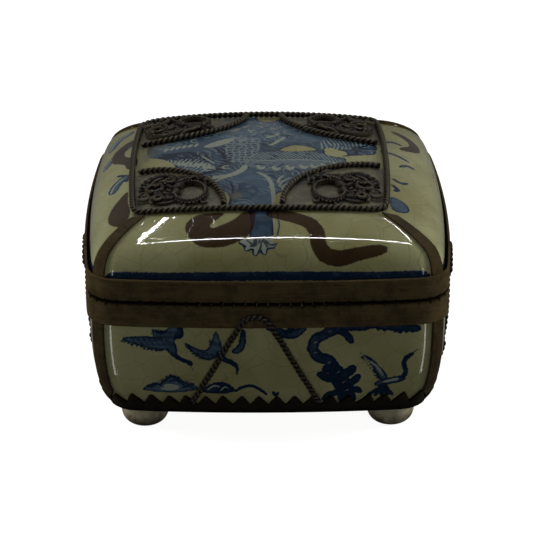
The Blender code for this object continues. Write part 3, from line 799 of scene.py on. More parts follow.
def rising_crane(motif):
    """A crane climbing to the right, its neck bent back and its legs trailing."""
    motif.area("blue", ((-13.8, 10.6), (-10, 8.6), (-7.4, 5.8), (-4.6, 2), (-4.4, -0.2), (-6.6, -0.2),
            (-8.4, 2.6), (-9.6, 5.4), (-11.4, 8.4)), 0.5)
    fringe(motif, ((-12.4, 9), (-9, 4), (-7, 0.4)), 12, 0.8, 0.6, 0.6, (-1,))
    motif.stroke("blue", 2.8, ((-8.4, -1.8), (-3.6, -0.6), (0.4, 0.2)), 0.6, (0.3, 0.8))
    motif.stroke("white", 1.0, ((-6, -1), (-3, -0.3), (-1, 0)))
    motif.stroke("blue", 1.7, ((0, 0.2), (1.4, 2.6), (0.7, 6.2), (1.8, 8.2), (3.4, 9.2)), 0.8, (1, 0.6))
    motif.stroke("ink", 0.5, ((2.8, 9), (5.4, 11)), None, (1, 0.5))
    for lean in (-7, -4.4, -2.4, -0.2, 1.6):
        motif.stroke("blue", 1.5, ((-5.4, -2.2), (-4.8 + lean * 0.5, -4.4), (-4 + lean, -6.8)), 0.85,
                (1, 0.2))
    motif.stroke("white", 0.45, ((-11.4, 8.2), (-8, 4.6), (-6.2, 1.4)))
    motif.stroke("white", 0.45, ((-10, 7.6), (-7, 4.2), (-5.4, 1)))


def rocks(motif):
    """Two mounds of rock with pale hollows, and an outlined hill beside them."""
    motif.area("blue", ((-13.4, 0), (-9.6, 2.8), (-7.4, 3), (-4, 6), (-1.4, 5), (0.4, 3.4), (3.6, 2.4),
            (4.4, 0.4), (-4, -1)), 0.42)
    motif.area("white", ((-7.5, 0.4), (-6, 2.4), (-3.4, 2.6), (-1.4, 1.4), (-3.4, 0)))
    for start, top, stop in (((-11, 0.6), (-8.4, 2.6), (-6.4, 1)), ((-8, 2), (-4, 5.6), (-0.6, 3.6)),
            ((-5, 3.4), (-2.4, 4.2), (1, 1.4)), ((-1, 1), (1.6, 2), (3.6, 0.6))):
        motif.stroke("ink", 0.8, (start, top, stop))
    fringe(motif, ((-12, 1.4), (-8, 3), (-4, 6), (0, 3.8), (4, 2)), 22, 0.6, 0.6, 0.6, (1,))
    motif.area("blue", ((5, 0), (9.6, 3.4), (13.4, 3.6), (16, 1.4), (15.5, -0.4), (11, -1.2)), 0.85)
    motif.stroke("white", 0.6, ((7.4, 0.4), (9.8, 2.2), (11.8, 1.6)))
    motif.stroke("white", 0.5, ((11.6, 0), (13.2, 1.8), (14.4, 0.8)))
    motif.stroke("blue", 1.3, ((16.4, 0), (18.6, 1.6), (21.2, 2.3), (23.8, 1.2), (26.4, -1.2)), 0.8,
            (0.8, 0.8))
    motif.stroke("white", 0.7, ((18.6, 0), (21, 0.8), (23, -0.2)))


def pine(motif):
    """A twisted pine: a thick lower trunk, a bend to the left, and boughs spreading under the rim."""
    lower = ((2.8, -1), (1.8, 3), (0.6, 6.5), (-1.2, 10.8))
    bend = ((-1.2, 10.8), (-3.2, 14.2), (-6.6, 15.6), (-8.6, 18.6))
    upper = ((-8.6, 18.6), (-7.4, 22), (-4.2, 23.8), (-2, 26.6), (-3, 30))
    left_bough = ((-22, 26.6), (-18.6, 24.4), (-15, 23.6), (-11.4, 25.6))
    right_bough = ((-3, 26.6), (3, 27.4), (9, 27.2), (15, 26), (20, 25.2), (25, 24.6))
    for width, route, tone in ((6.0, lower, 0.95), (4.0, bend, 0.85), (3.7, upper, 0.75),
            (3.0, left_bough, 0.7), (3.2, right_bough, 0.75)):
        motif.stroke("blue", width, route, tone, (1, 0.7))
    for width, route in (
        (3.0, ((-0.5, 7.5), (-3.4, 7.4), (-6.4, 9.4))),
        (3.0, ((1.5, 5.5), (4.4, 6), (6.2, 8.2))),
        (2.6, ((1.5, 2.5), (5, 3), (7, 1.8))),
        (2.8, ((1, 2), (-2.6, 1), (-4.6, -1.4))),
        (2.6, ((-1, 25), (2, 23.6), (4, 20.6))),
        (3.0, ((-3, 24), (0, 25.4), (4, 26), (9, 25.4))),
        (3.4, ((0.8, 9), (3, 9.6), (4.6, 11.4))),
        (3.2, ((-0.5, 11), (-3, 11.4), (-4.6, 10.6))),
        (2.2, ((-15, 26), (-17, 24), (-19.4, 23.6))),
    ):
        motif.stroke("blue", width, route, 0.9, (1, 0.5))
    fringe(motif, lower, 7, 1.6, 0.95, 1.6)
    fringe(motif, bend, 5, 1.0, 0.85, 1.2)
    fringe(motif, left_bough, 6, 1.4, 0.7, 1.0, (-1,))
    fringe(motif, right_bough, 15, 2.0, 0.75, 1.1, (-1,))
    for x, y in ((1.8, 6), (-0.2, 9.8), (2.8, 2.6), (-3.2, 13.4), (-7.4, 17.2), (-7.6, 20.8), (-3.2, 24.6),
            (-1, 27)):
        motif.stroke("white", 0.3, ((x - 0.7, y - 0.5), (x + 0.2, y + 0.2), (x + 0.7, y - 0.2)))


def paint_base(side, across, up):
    """The base's sides: cranes, rocks and a pine on the front, and fewer of them on the others."""
    painting = Painting(across, up)
    if side == "front":
        diving_crane(Motif(painting, -30, 36))
        flying_crane(Motif(painting, -16, 33))
        rising_crane(Motif(painting, 42.6, 22.4))
        rocks(Motif(painting, -27, 18.6))
        pine(Motif(painting, 22.6, 16))
        painting.stroke("blue", 1.4, ((1.4, 18.4), (2.4, 17), (3.2, 18)), 0.9)
    elif side == "back":
        flying_crane(Motif(painting, 26, 31, mirrored=True))
        diving_crane(Motif(painting, -26, 33))
        rocks(Motif(painting, 6, 18.4, mirrored=True))
    elif side == "left":
        pine(Motif(painting, -24, 16, mirrored=True))
        flying_crane(Motif(painting, 26, 33))
        rocks(Motif(painting, 22, 18.4))
    else:
        rocks(Motif(painting, -24, 18.4))
        rising_crane(Motif(painting, 0, 23, 0.9))
        flying_crane(Motif(painting, 30, 34, mirrored=True))
    return painting


def paint_beast(painting):
    """The blue of the large beast on top of the lid: its head to the left, and a leg over the front."""
    field = ((-40, 11), (-39, 2), (-35, -1), (-31, -8), (-27, -13), (-21, -20), (-17, -26), (-12, -34),
             (-12, -41), (1, -41), (3, -32), (8, -30), (17, -20), (26, -10), (34, -6), (36, 2), (37, 12),
             (31, 18), (22, 22), (12, 30), (3, 40), (-3, 50), (-11, 50), (-16, 34), (-26, 24), (-36, 17))
    painting.area("blue", field, 0.5)
    painting.layers["busy"] = np.clip(painting.area_depth(field), 0, 1)
    painting.area("blue", ((5, 12), (18, 12), (22, 22), (12, 29), (2, 34), (-6, 46), (-12, 44), (-14, 30),
            (-20, 22), (-12, 14)), 0.16)
    painting.area("blue", ((-36, 3), (-28, 4), (-21, 1), (-17, -5), (-24, -7), (-32, -4)), 0.85)
    painting.area("blue", ((-38, 12), (-30, 15), (-22, 12), (-24, 5), (-34, 4)), 0.45)
    painting.area("blue", ((-5, -14), (8, -11), (20, -12), (18, -17), (12, -24), (4, -22)), 0.46)
    painting.area("blue", ((-12, -15), (-3, -16), (0, -22), (1, -41), (-11, -41), (-12, -30)), 0.34)
    painting.area("blue", ((-9, -25), (-4, -26), (-3, -32), (-7, -36), (-10, -32)), 0.55)
    painting.stroke("blue", 3.4, ((-17, 6), (-13.5, 1), (-13, -6), (-15, -12), (-21, -16.5)), 0.9)
    painting.area("blue", ((-1, 10), (3, 10), (5, 4), (1, 2), (-2, 5)), 0.62)
    painting.stroke("blue", 2.2, ((7, 20), (8.6, 14), (14.5, 12.4)), 0.45)
    painting.stroke("blue", 1.4, ((9, -12), (11, -15), (13.5, -19.5)), 0.62)
    for points in (
        ((-44, 1), (-38, 1), (-33, -3), (-30, -9), (-34, -7), (-44, -6)),
        ((20, 6), (26, 3), (28, -0.5), (38, 3), (38, -4), (27, -7), (26, -3), (20, -0.5)),
        ((4.5, 3.4), (10, 8), (16.5, 4), (10, 2.2)),
        ((-3, 52), (-3, 38), (0, 33), (4, 36), (6, 44), (5, 52)),
    ):
        painting.layers["blue"] = np.minimum(painting.layers["blue"], -painting.area_depth(points))


def comb_beast(painting):
    """Scales on the beast's body, and fine lines on its wings and head."""
    painting.scales(((-13, 15), (-7, 18), (-2, 12), (-3, 0), (-6, -8), (-12, -7), (-14, 2)))
    wing = ((-5, 0), (5, 2.4), (15, 2.2), (22, -2), (26.5, -8), (22, -11.6), (12, -12.4), (4, -14.4),
            (-3, -13.4), (-7, -9))
    painting.combing(wing, (-16, -18), 1.1)
    painting.combing(((-6, -7), (4, -6), (14, -6), (24, -8), (22, -11.6), (12, -12.4), (4, -14.4),
            (-3, -13.4)), (-6, -40), 1.1)
    painting.stroke("white", 0.7, ((-6, -6.4), (4, -5.6), (14, -5.4), (25, -7.4)))
    painting.combing(((18, 5), (23, 4), (34, 9), (34, 15), (28, 16.5), (19, 13.5)), (8, 8), 1.3)
    painting.combing(((-30, -3), (-22, -4), (-18, -10), (-20, -15), (-26, -13)), (-48, 8), 1.5)
    painting.combing(((-38, 14), (-30, 15), (-28, 10), (-36, 8)), (-30, 30), 1.2)
    for tip in ((3, -14), (12, -12.5), (19, -11), (-2, -13), (7.5, -13.4), (15.5, -12), (23, -10)):
        painting.stroke("white", 1.5, ((tip[0] - 1, tip[1] + 3), tip, (tip[0] + 1.2, tip[1] + 1.6)), None,
                (0.4, 0.7))
    painting.stroke("white", 2.4, ((-7, -10), (-8.2, -14), (-12, -18), (-18, -19.6), (-22.5, -19.4)), None,
            (0.5, 0.5))
    painting.stroke("white", 0.8, ((-22, 0), (-19, -5), (-17, -8)))


def light_beast(painting):
    """Bare glaze left among the beast's blue: its eye, curls, fur and the edges of its limbs."""
    painting.area("white", ((-21, 7.6), (-15, 13.6), (-11, 14.6), (-11.4, 12), (-17, 7)))
    for step in range(6):
        painting.stroke("white", 1.2, ((-34 + 2 * step, 6 + 0.4 * step), (-33 + 2 * step, 8.4 + 0.5 * step)))
        painting.stroke("white", 0.8, ((-29.5 + 2.1 * step, -5 - 0.6 * step),
                (-28.6 + 2.1 * step, -9 - 0.7 * step)))
    for centre in ((-19, -12), (-13, -11), (-24, 14), (-4, 22)):
        painting.stroke("white", 0.8, curl(centre, 1, 0.4, 0.28, 0.9, 7))
    for start, end in (((0, 15), (4, 19)), ((3, 11), (6, 15.4)), ((1, 8), (4, 12)), ((-18, 21), (-14, 23)),
            ((-12, 22), (-9, 25))):
        painting.stroke("white", 1.5, (start, ((start[0] + end[0]) / 2 + 0.5, (start[1] + end[1]) / 2), end))
    for step in range(5):
        painting.stroke("white", 0.9, ((-8 + 4.5 * step, 26 + 2.4 * (step % 2)),
                (-5.5 + 4.5 * step, 28 - 2 * (step % 3))))
    painting.stroke("white", 1.5, ((-3, -16), (0, -20), (1.6, -27), (2.2, -41)), None, (0.6, 1))
    painting.stroke("white", 0.9, ((-12, -19), (-17, -23), (-16, -28), (-12, -32)))
    for start, end in (((4, -28), (8, -20)), ((5, -30), (11, -22)), ((3.4, -25), (5.6, -18.6)),
            ((7, -29), (13.5, -23))):
        painting.stroke("white", 0.9, (start, (start[0] + 0.6, start[1] + 4), end))
    for k in range(34):
        x, y = -20 + 33 * (k * 0.618 % 1), 17 + 0.5 * k
        lean = 0.5 + 0.9 * math.sin(1.7 * k)
        reach_x, reach_y = 1.7 * math.cos(lean), 1.7 * math.sin(lean)
        painting.stroke("white", 0.55, ((x - reach_x, y - reach_y), (x + 0.4, y - 0.4),
                (x + reach_x, y + reach_y)), None, (0.3, 0.3))
    for k in range(16):
        x, y = -32.5 + 0.95 * k, -2 - 0.42 * k
        painting.stroke("white", 0.5, ((x, y), (x + 0.2 + 0.05 * k, y - 2.6), (x + 1.6, y - 5.2)), None,
                (0.5, 0.2))
    for k in range(9):
        x, y = 7 + 1.9 * k, -14.6 + 0.25 * k
        painting.stroke("white", 0.5, ((x, y), (x + 1.4, y - 1.8), (x + 1.2, y - 4)), None, (0.4, 0.2))


def ink_beast(painting):
    """Dark lines round the beast's tail, jaw and leg."""
    painting.stroke("ink", 1.3, ((25, -1.4), (30, 2), (29, 7), (33, 9.4)))
    for tip in ((24, 4), (32, 4), (36, 7.5), (34, 11)):
        painting.stroke("ink", 0.9, ((29.5, 4.6), ((29.5 + tip[0]) / 2, (5.6 + tip[1]) / 2), tip))
    painting.stroke("ink", 0.9, ((-34, 1.6), (-28, -1), (-21, -1.4)))
    painting.stroke("ink", 0.9, ((-12, -22), (-11, -30), (-12.4, -39)))
    for step in range(5):
        painting.stroke("ink", 0.7, ((-20 + 6 * step, 17 + 2 * (step % 2)),
                (-17 + 6 * step, 19 - 1.6 * (step % 3)), (-15 + 6 * step, 17)))


def paint_slopes(painting):
    """Ribbons and the beast's foot on the front slope, and ribbons and patches on the others."""
    hook = ((-21, -43), (-25.5, -46), (-26.2, -51), (-22.5, -56), (-15, -57), (-8, -54.6), (-4.6, -50.5),
            (-4, -43), (-8, -43), (-11, -46.4), (-17.2, -49.6), (-18, -48), (-15.4, -45.6), (-14, -43))
    painting.area("brown", hook)
    painting.stroke("brown", 5.2, ((2, -43.5), (8, -45.4), (13, -47.8), (15.6, -51.6), (16.4, -56),
            (19, -59.2), (24, -60), (30, -58), (37.5, -56)), None, (1, 0.55))
    painting.area("blue", ((-5.4, -42.4), (1.6, -42.4), (2, -50), (1.6, -55), (-2, -57), (-6, -55.4),
            (-5.4, -49)), 0.62)
    painting.stroke("white", 0.9, ((1.8, -43), (2.2, -49), (2.4, -54)), None, (1, 0.6))
    painting.stroke("ink", 0.7, ((3.2, -43.4), (3.6, -50), (2.6, -55)), None, (1, 0.6))
    painting.area("white", ((-7.6, -53.4), (-2, -54.6), (2.8, -53), (2.6, -56.4), (-2.6, -58.2),
            (-7.4, -56.6)))
    for tip in ((-9, -55), (-7.2, -58), (-4.2, -59.8), (-1, -59.4), (2, -57)):
        knuckle = ((tip[0] - 2.6) / 2, -56.2)
        painting.stroke("blue", 2.7, ((-2.6, -54), knuckle, tip), 0.6, (1, 0.5))
        painting.stroke("white", 1.3, ((-2.6 + tip[0] * 0.15, -54.4), knuckle, tip), None, (0.6, 0.5))
        painting.stroke("ink", 0.75, ((-1.8 + tip[0] * 0.3, -54.4), (knuckle[0] + 1.2, -56.6),
                (tip[0] + 1.3, tip[1] + 1)))
    painting.area("brown", ((-45.5, -22), (-49, -27), (-51.5, -33), (-51.5, -40), (-47, -44.5), (-44, -38),
            (-45, -30)))
    painting.stroke("brown", 5, ((-45, 24), (-50, 18), (-50, 9), (-45.6, 3), (-45, -3)), None, (0.5, 0.5))
    painting.stroke("brown", 4.4, ((44, 32), (50, 27), (51, 20), (46, 14)), None, (0.5, 0.5))
    painting.stroke("brown", 4.6, ((12, 46), (16, 52), (24, 54.5), (31, 50), (36, 52)), None, (0.6, 0.5))
    painting.area("blue", ((39.6, -30), (43.4, -30.6), (46, -35), (44.4, -38.6), (40, -38)), 0.5)
    for points in (
        ((-46, 20), (-52, 14), (-56, 7)),
        ((-46, 36), (-52, 31), (-54, 24)),
        ((-46, -9), (-50, -14), (-51, -19)),
        ((-20, 46), (-14, 52), (-6, 56)),
        ((-34, 48), (-30, 54), (-22, 57)),
        ((-4, 46), (0, 52), (-4, 57)),
    ):
        painting.stroke("blue", 4.2, points, 0.45, (0.3, 0.2))
        painting.stroke("white", 0.8, [(x * 1.015, y * 1.015) for x, y in points])
    for points in (
        ((41, -15), (44, -17.6), (46.4, -16)),
        ((40.6, -20), (42.6, -23.4), (41, -24.6)),
        ((38, 7), (43, 6.4), (48, 3)),
        ((40, 17), (43, 19), (46.4, 18)),
        ((44, -4), (47, -1), (49.6, -2)),
        ((-50, -6), (-47, -9), (-46, -14)),
    ):
        painting.stroke("blue", 1.7, points, 0.5, (0.3, 0.3))


def paint_stripes(painting):
    """The dark stripe near the lid's rim, between the straps on every side."""
    for quarter in range(4):
        turn = quarter * math.pi / 2
        points = [
            (along * math.cos(turn) - away * math.sin(turn), along * math.sin(turn) + away * math.cos(turn))
            for along, away in ((-55.5, 61), (-50, 62.2), (-36, 64.6), (-18, 66.3), (0, 66.9), (18, 66.3),
                    (36, 64.6), (50, 62.2), (55.5, 61))
        ]
        painting.lay("blue", painting.stroke_depth(2.5, points, (0.9, 0.9)), 1.0)
        inner = [(x * 0.983, y * 0.983) for x, y in points]
        painting.lay("blue", painting.stroke_depth(1.3, inner, (0.5, 0.5)), 0.55)


STAIN = ((-42, -2), (-36, 2), (-36, 9), (-30, 15), (-36, 20), (-42, 20))
SPOT = ((-12, -36), (-7, -35), (-8, -30), (-13, -31))


def paint_lid(across, up, plan_x, plan_y):
    """Everything painted on the lid, and the dirt that has gathered round the wires."""
    painting = Painting(across, up)
    paint_beast(painting)
    comb_beast(painting)
    light_beast(painting)
    ink_beast(painting)
    paint_slopes(painting)
    paint_stripes(painting)
    dust = np.zeros(across.size)
    for degrees in CORNERS.values():
        sign_x, sign_y = corner_signs(degrees)
        along_x = FRAME_CORNER - sign_x * (plan_x + FRAME_SHIFT)
        along_y = FRAME_CORNER - sign_y * plan_y
        reach_x, reach_y = arc_reach(degrees)
        gone = 1 - np.hypot(np.maximum(along_x, 0) / reach_x, np.maximum(along_y, 0) / reach_y)
        edge = np.minimum.reduce([gone * reach_x, along_x + 0.0010, along_y + 0.0010])
        dust = np.maximum(dust, np.clip(edge / 0.0009, 0, 1))
    stain = np.maximum(painting.area_depth(STAIN), painting.area_depth(SPOT))
    painting.layers["dust"] = np.maximum(dust, 0.75 * np.clip(stain / 2.5 + 0.3, 0, 1))
    return painting


# Glazed pieces


def unrolled_shares(samples=160, turns=400):
    """For directions over an eighth of the plan, even steps along the dome's profile, and its length."""
    angles = np.linspace(0, math.pi / 4, 24)
    rows, lengths = [], []
    for angle in angles:
        points = [dome_point(angle, math.pi / 2 * (1 - (k / turns) ** 1.5)) for k in range(turns + 1)]
        points.append(Vector((points[-1].x, points[-1].y, LID_Z + RIM_ROUND)))
        run = np.concatenate([[0], np.cumsum([(b - a).length for a, b in zip(points, points[1:])])])
        even = np.linspace(0, run[-1], samples)
        lengths.append(run[-1])
        rows.append([np.interp(even, run, [getattr(p, axis) for p in points]) for axis in "xyz"])
    return angles, np.array(rows), np.array(lengths)


def lid_places(across, up):
    """Where a unit square's points lie on the outside of the lid, and on its unrolled surface in mm."""
    angles, rows, lengths = unrolled_shares()
    reach = np.maximum(np.abs(across), np.abs(up))
    angle = np.arctan2(up, across)
    folded = np.abs((angle + math.pi / 4) % (math.pi / 2) - math.pi / 4)
    at = np.clip(folded / (math.pi / 4) * (len(angles) - 1), 0, len(angles) - 1.0001)
    step = np.clip(reach * (rows.shape[2] - 1), 0, rows.shape[2] - 1.0001)
    i, k = at.astype(int), step.astype(int)
    s, t = at - i, step - k

    def blended(table):
        low = table[i, k] * (1 - t) + table[i, k + 1] * t
        high = table[i + 1, k] * (1 - t) + table[i + 1, k + 1] * t
        return low * (1 - s) + high * s

    radius = blended(np.hypot(rows[:, 0], rows[:, 1]))
    height = blended(rows[:, 2])
    run = (lengths[i] * (1 - s) + lengths[i + 1] * s) * reach / MM
    return radius * np.cos(angle), radius * np.sin(angle), height, run * np.cos(angle), run * np.sin(angle)


def loop_between(half, z, directions):
    """The box's outline with this half width at this height, in these directions."""
    return [outline_point(half, angle, z) for angle in directions]


def make_lid_glaze(settings):
    """The dome, painted and crackled outside and hollow below."""
    across = settings.fineness
    bm = bmesh.new()
    bmesh.ops.create_grid(bm, x_segments=across, y_segments=across, size=1)
    flat = np.array([v.co[:2] for v in bm.verts])
    x, y, z, chart_x, chart_y = lid_places(flat[:, 0], flat[:, 1])
    for v, place in zip(bm.verts, zip(x, y, z)):
        v.co = place
    edges = [e for e in bm.edges if e.is_boundary]
    verts = sorted({v for e in edges for v in e.verts}, key=lambda v: math.atan2(v.co.y, v.co.x))
    directions = [math.atan2(v.co.y, v.co.x) for v in verts]
    soft = RIM_ROUND * SOFTENED
    inner_half, inner_rise, inner_round = PORCELAIN_HALF - LID_WALL, LID_RISE - LID_WALL, 0.0004
    loops = [
        loop_between(PORCELAIN_HALF - soft, LID_Z + soft, directions),
        loop_between(PORCELAIN_HALF - RIM_ROUND, LID_Z, directions),
        loop_between(inner_half + inner_round, LID_Z, directions),
        loop_between(inner_half, LID_Z + inner_round, directions),
    ]
    inner_steps, top_share = 9, 0.985
    for step in range(inner_steps + 1):
        turn = math.pi / 2 * min(step / inner_steps, top_share)
        loops.append([dome_point(a, turn, inner_half, inner_rise) for a in directions])
    for loop in loops:
        verts, edges = next_loop(bm, verts, edges, loop)
    bm.faces.new(verts)
    bmesh.ops.poke(bm, faces=[f for f in bm.faces if len(f.verts) > 4])
    material = painted_glaze("lid_glaze_finish", settings)
    piece = to_object("lid_glaze", bm, material, ["lid_porcelain"])
    unpainted = np.full(len(piece.data.vertices) - len(flat), 200.0)
    paint_lid(*(np.concatenate([places, unpainted]) for places in (chart_x, chart_y, x, y))).store(piece.data)


def base_rows():
    """(half width, height) down the base from the lip's inside, over the lip and rim, to the underside."""
    lip_top, edge = LEDGE_Z + LIP_HEIGHT, LIP_THICKNESS / 4
    soft = RIM_ROUND * SOFTENED
    lip = [
        (LIP_INNER, LEDGE_Z),
        (LIP_INNER, lip_top - edge),
        (LIP_INNER + edge, lip_top),
        (LIP_OUTER - edge, lip_top),
        (LIP_OUTER, lip_top - edge),
        (LIP_OUTER, LEDGE_Z),
        (PORCELAIN_HALF - RIM_ROUND, LEDGE_Z),
        (PORCELAIN_HALF - soft, LEDGE_Z - soft),
    ]
    top, bottom = LEDGE_Z - RIM_ROUND, FOOT_HEIGHT + UNDERSIDE_ROUND
    row_height = 0.45 * MM
    wall = [(wall_half(z), z) for z in np.linspace(top, bottom, round((top - bottom) / row_height))]
    soft = UNDERSIDE_ROUND * SOFTENED
    under = [
        (wall_half(bottom) - soft * 1.6, FOOT_HEIGHT + soft),
        (wall_half(bottom) - UNDERSIDE_ROUND * 1.4, FOOT_HEIGHT),
    ]
    return lip, wall, under


def make_base_glaze(settings):
    """The base, hollow, painted on its four sides, standing on four bun feet."""
    lip, wall, under = base_rows()
    directions = outline_directions(900)
    floor_z = FOOT_HEIGHT + FLOOR
    inner = [(wall_half(z) - WALL, z) for z in np.linspace(LEDGE_Z - LIP_ROOT, floor_z + UNDERSIDE_ROUND, 4)]
    inside = [(wall_half(floor_z) - WALL - UNDERSIDE_ROUND * 2, floor_z), *reversed(inner)]
    rows = (*inside, *lip, *wall, *under)
    bm = extruded([loop_between(half, z, directions) for half, z in rows], capped=True)
    bmesh.ops.poke(bm, faces=[f for f in bm.faces if len(f.verts) > 4])
    for degrees in CORNERS.values():
        add_foot(bm, math.radians(degrees))
    material = painted_glaze("base_glaze_finish", settings)
    piece = to_object("base_glaze", bm, material, ["base_porcelain"])
    paint_sides(piece.data)


def paint_sides(mesh):
    """Paints each side of the base, on the vertices of its outer wall."""
    places = np.empty(len(mesh.vertices) * 3)
    mesh.vertices.foreach_get("co", places)
    x, y, z = places.reshape(-1, 3).T
    beyond_inside = np.maximum(np.abs(x), np.abs(y)) > wall_half(FOOT_HEIGHT) - 0.004
    outside = (np.abs(x) + np.abs(y) > 0.05) & beyond_inside
    whole = Painting(x, z)
    for side, degrees in SIDES.items():
        facing = math.radians(degrees)
        along = -x * math.sin(facing) + y * math.cos(facing)
        ahead = x * math.cos(facing) + y * math.sin(facing)
        here = np.nonzero((ahead >= np.abs(along)) & outside)[0]
        for name, values in paint_base(side, along[here] / MM, z[here] / MM).layers.items():
            whole.layers[name][here] = values
    whole.store(mesh)


def circle(centre, radius, z, sides):
    """A level ring of points round a centre."""
    angles = [2 * math.pi * i / sides for i in range(sides)]
    return [centre + Vector((radius * math.cos(a), radius * math.sin(a), z)) for a in angles]


def add_foot(bm, angle):
    """A turned bun foot, buried in the base at its top."""
    away = (HALF - FOOT_INSET) * math.sqrt(2)
    centre = Vector((away * math.cos(angle), away * math.sin(angle), 0))
    pad, bulge, bulge_z = FOOT_PAD_DIAMETER / 2, FOOT_DIAMETER / 2, FOOT_HEIGHT * 0.62
    steps = 12
    turns = [math.pi / 2 * i / steps for i in range(steps + 1)]
    profile = [(pad + (bulge - pad) * math.sin(a), bulge_z * (1 - math.cos(a))) for a in turns]
    profile += [(bulge * 0.985, FOOT_HEIGHT * 0.85), (bulge * 0.95, FOOT_HEIGHT + FLOOR / 2)]
    add_to(bm, extruded([circle(centre, radius, z, 48) for radius, z in profile], capped=True))


def add_to(bm, other):
    """Puts another bmesh's faces into this one."""
    mesh = bpy.data.meshes.new("part")
    other.to_mesh(mesh)
    other.free()
    bm.from_mesh(mesh)
    bpy.data.meshes.remove(mesh)


# Sheet metal


def make_rim_binding(settings, name, low, high, fold_low, node):
    """The strip round a rim, folded over its edge, with hand-cut V notches along the fold."""
    notches = 8 * round(math.pi / 4 * 2 * HALF / settings.notch_pitch)
    between_notches = 6
    edge, away, fold = (low, high, 1) if fold_low else (high, low, -1)
    inner_half = LIP_OUTER + LIP_CLEARANCE
    profiles = []
    for i, angle in enumerate(outline_directions(notches * between_notches)):
        uneven = grain.noise((i // between_notches * 0.91, 7.3, 2.0 * fold)) * 0.5
        notched = i % between_notches == 0
        cut = edge + fold * (0.0011 + 0.0007 * uneven if notched else 0)
        flange = 0.05 if notched else 1.0
        wave = 0.00008 * grain.noise((HALF * 90 * math.cos(angle), HALF * 90 * math.sin(angle), fold))
        bend = HALF - RIM_ROUND * flange
        fold_in = bend - 0.0001 if notched else inner_half
        above_bend = edge + fold * RIM_ROUND
        profile = (
            (HALF - 0.0001, away),
            (HALF + 0.00012, away - fold * 0.00025),
            (HALF + wave, above_bend + fold * 0.0012),
            (HALF, max(cut, above_bend) if fold > 0 else min(cut, above_bend)),
            (HALF - RIM_ROUND * SOFTENED * flange, cut + fold * RIM_ROUND * SOFTENED * flange),
            (bend, cut),
            (fold_in, cut),
            (fold_in, cut + fold * STRIP * 0.8),
            (bend - STRIP * 0.3, cut + fold * STRIP * 0.9),
            (HALF - STRIP, above_bend + fold * 0.0014),
            (HALF - STRIP, away),
        )
        profiles.append([outline_point(half, angle, z) for half, z in profile])
    material = aged_and_shaded_sheet(f"{name}_finish", tuple(settings.sheet))
    piece = to_object(name, extruded(list(zip(*profiles))), material, [node], 35)
    heights = np.array([v.co.z for v in piece.data.vertices])
    give(piece.data, "worn", np.clip(1 - np.abs(heights - away) / 0.0012, 0, 1) * 0.8)
    # Painted shade along the fold, in the groove between lid and base.
    give(piece.data, "gap", np.clip(1 - np.abs(heights - edge) / 0.0009, 0, 1))


def make_foot_binding(settings):
    """The strip round the foot, cut by hand into uneven teeth along its top."""
    teeth = 8 * round(wall_half(TOOTH_ROOT_Z) * 0.97 / TOOTH_PITCH)
    across_tooth = 8
    bottom = FOOT_HEIGHT + FOOT_STRIP_LIFT
    outer = FIT + STRIP
    profiles = []
    for i, angle in enumerate(outline_directions(across_tooth * teeth)):
        tooth, at = i // across_tooth, i % across_tooth / across_tooth
        peak = 0.5 + 0.18 * grain.noise((tooth * 1.7, 3.1, 0.4))
        tall = 1 + 0.24 * grain.noise((tooth * 1.3, 9.2, 5.0))
        rise = at / peak if at < peak else (1 - at) / (1 - peak)
        top = TOOTH_ROOT_Z - 0.0005 + (TOOTH_HEIGHT + 0.0008) * (1 - abs(1 - rise) ** 1.1) * tall
        wave = 0.0001 * grain.noise((i * 0.05, 1.0, 8.0))
        profile = (
            (top, FIT + wave * 0.5),
            (top, FIT + STRIP * 0.8 + wave),
            (top - 0.00045, outer + wave),
            ((top + bottom) / 2, outer + 0.0001 + wave),
            (bottom + 0.0006, outer + 0.0001),
            (bottom + 0.0002, outer + 0.0003),
            (bottom - 0.0001, FIT + STRIP * 0.5),
            (bottom, FIT),
        )
        profiles.append([wall_point(angle, z, lift) for z, lift in profile])
    rows = list(zip(*profiles))
    # The sheet's colour at a fifth: painted shade for the band low on the box, where less light falls.
    material = aged_and_shaded_sheet("foot_binding_shaded_finish", shaded(settings.sheet, 0.20))
    piece = to_object("foot_binding", extruded(rows), material, ["foot_strip"], 35)
    tops = {rounded(p) for p in (*rows[0], *rows[1])}
    edge = np.array([rounded(v.co) in tops for v in piece.data.vertices], float)
    heights = np.array([v.co.z for v in piece.data.vertices])
    give(piece.data, "worn", np.clip((heights - TOOTH_ROOT_Z - 0.0006) / 0.002, 0, 1) * 0.9)
    # Painted shade: darker towards the band's bottom, with a dark line along the teeth's top edges.
    give(piece.data, "gap", np.maximum(np.clip(1.1 - (heights - bottom) / 0.0045, 0, 1) * 0.75, edge))


# Half a strap's cross-section from its middle: shares of its half width and of its thickness
HALF_STRAP = ((0, 1.14), (0.3, 1.12), (0.7, 1.06), (0.93, 1.0), (0.985, 0.7), (1, 0.2))
ACROSS_STRAP = (*((-offset, thick) for offset, thick in reversed(HALF_STRAP[1:])), *HALF_STRAP)


def strap_mesh(sections):
    """A strap through cross-sections, each a function from the offset, -1 to 1, and the lift, to a point."""
    loops = []
    for section in sections:
        over = [section(offset, FIT + STRIP * thick * 0.93) for offset, thick in ACROSS_STRAP]
        under = [section(offset, FIT * 0.5) for offset in (0.95, 0.3, -0.3, -0.95)]
        loops.append(over + under)
    bm = extruded(loops, capped=True)
    bmesh.ops.triangulate(bm, faces=[f for f in bm.faces if len(f.verts) > 4])
    return bm


def rounded(place):
    """A place to the nearest micrometre, so that two that are the same compare as equal."""
    return tuple(round(c, 6) for c in place)


def finish_strap(name, bm, node, material):
    piece = to_object(name, bm, material, [node], 35)
    heights = np.array([v.co.z for v in piece.data.vertices])
    give(piece.data, "worn", np.clip(0.5 + 0.5 * np.sin(heights * 2600), 0, 1) * 0.3)
    give(piece.data, "gap", np.zeros(len(heights)))


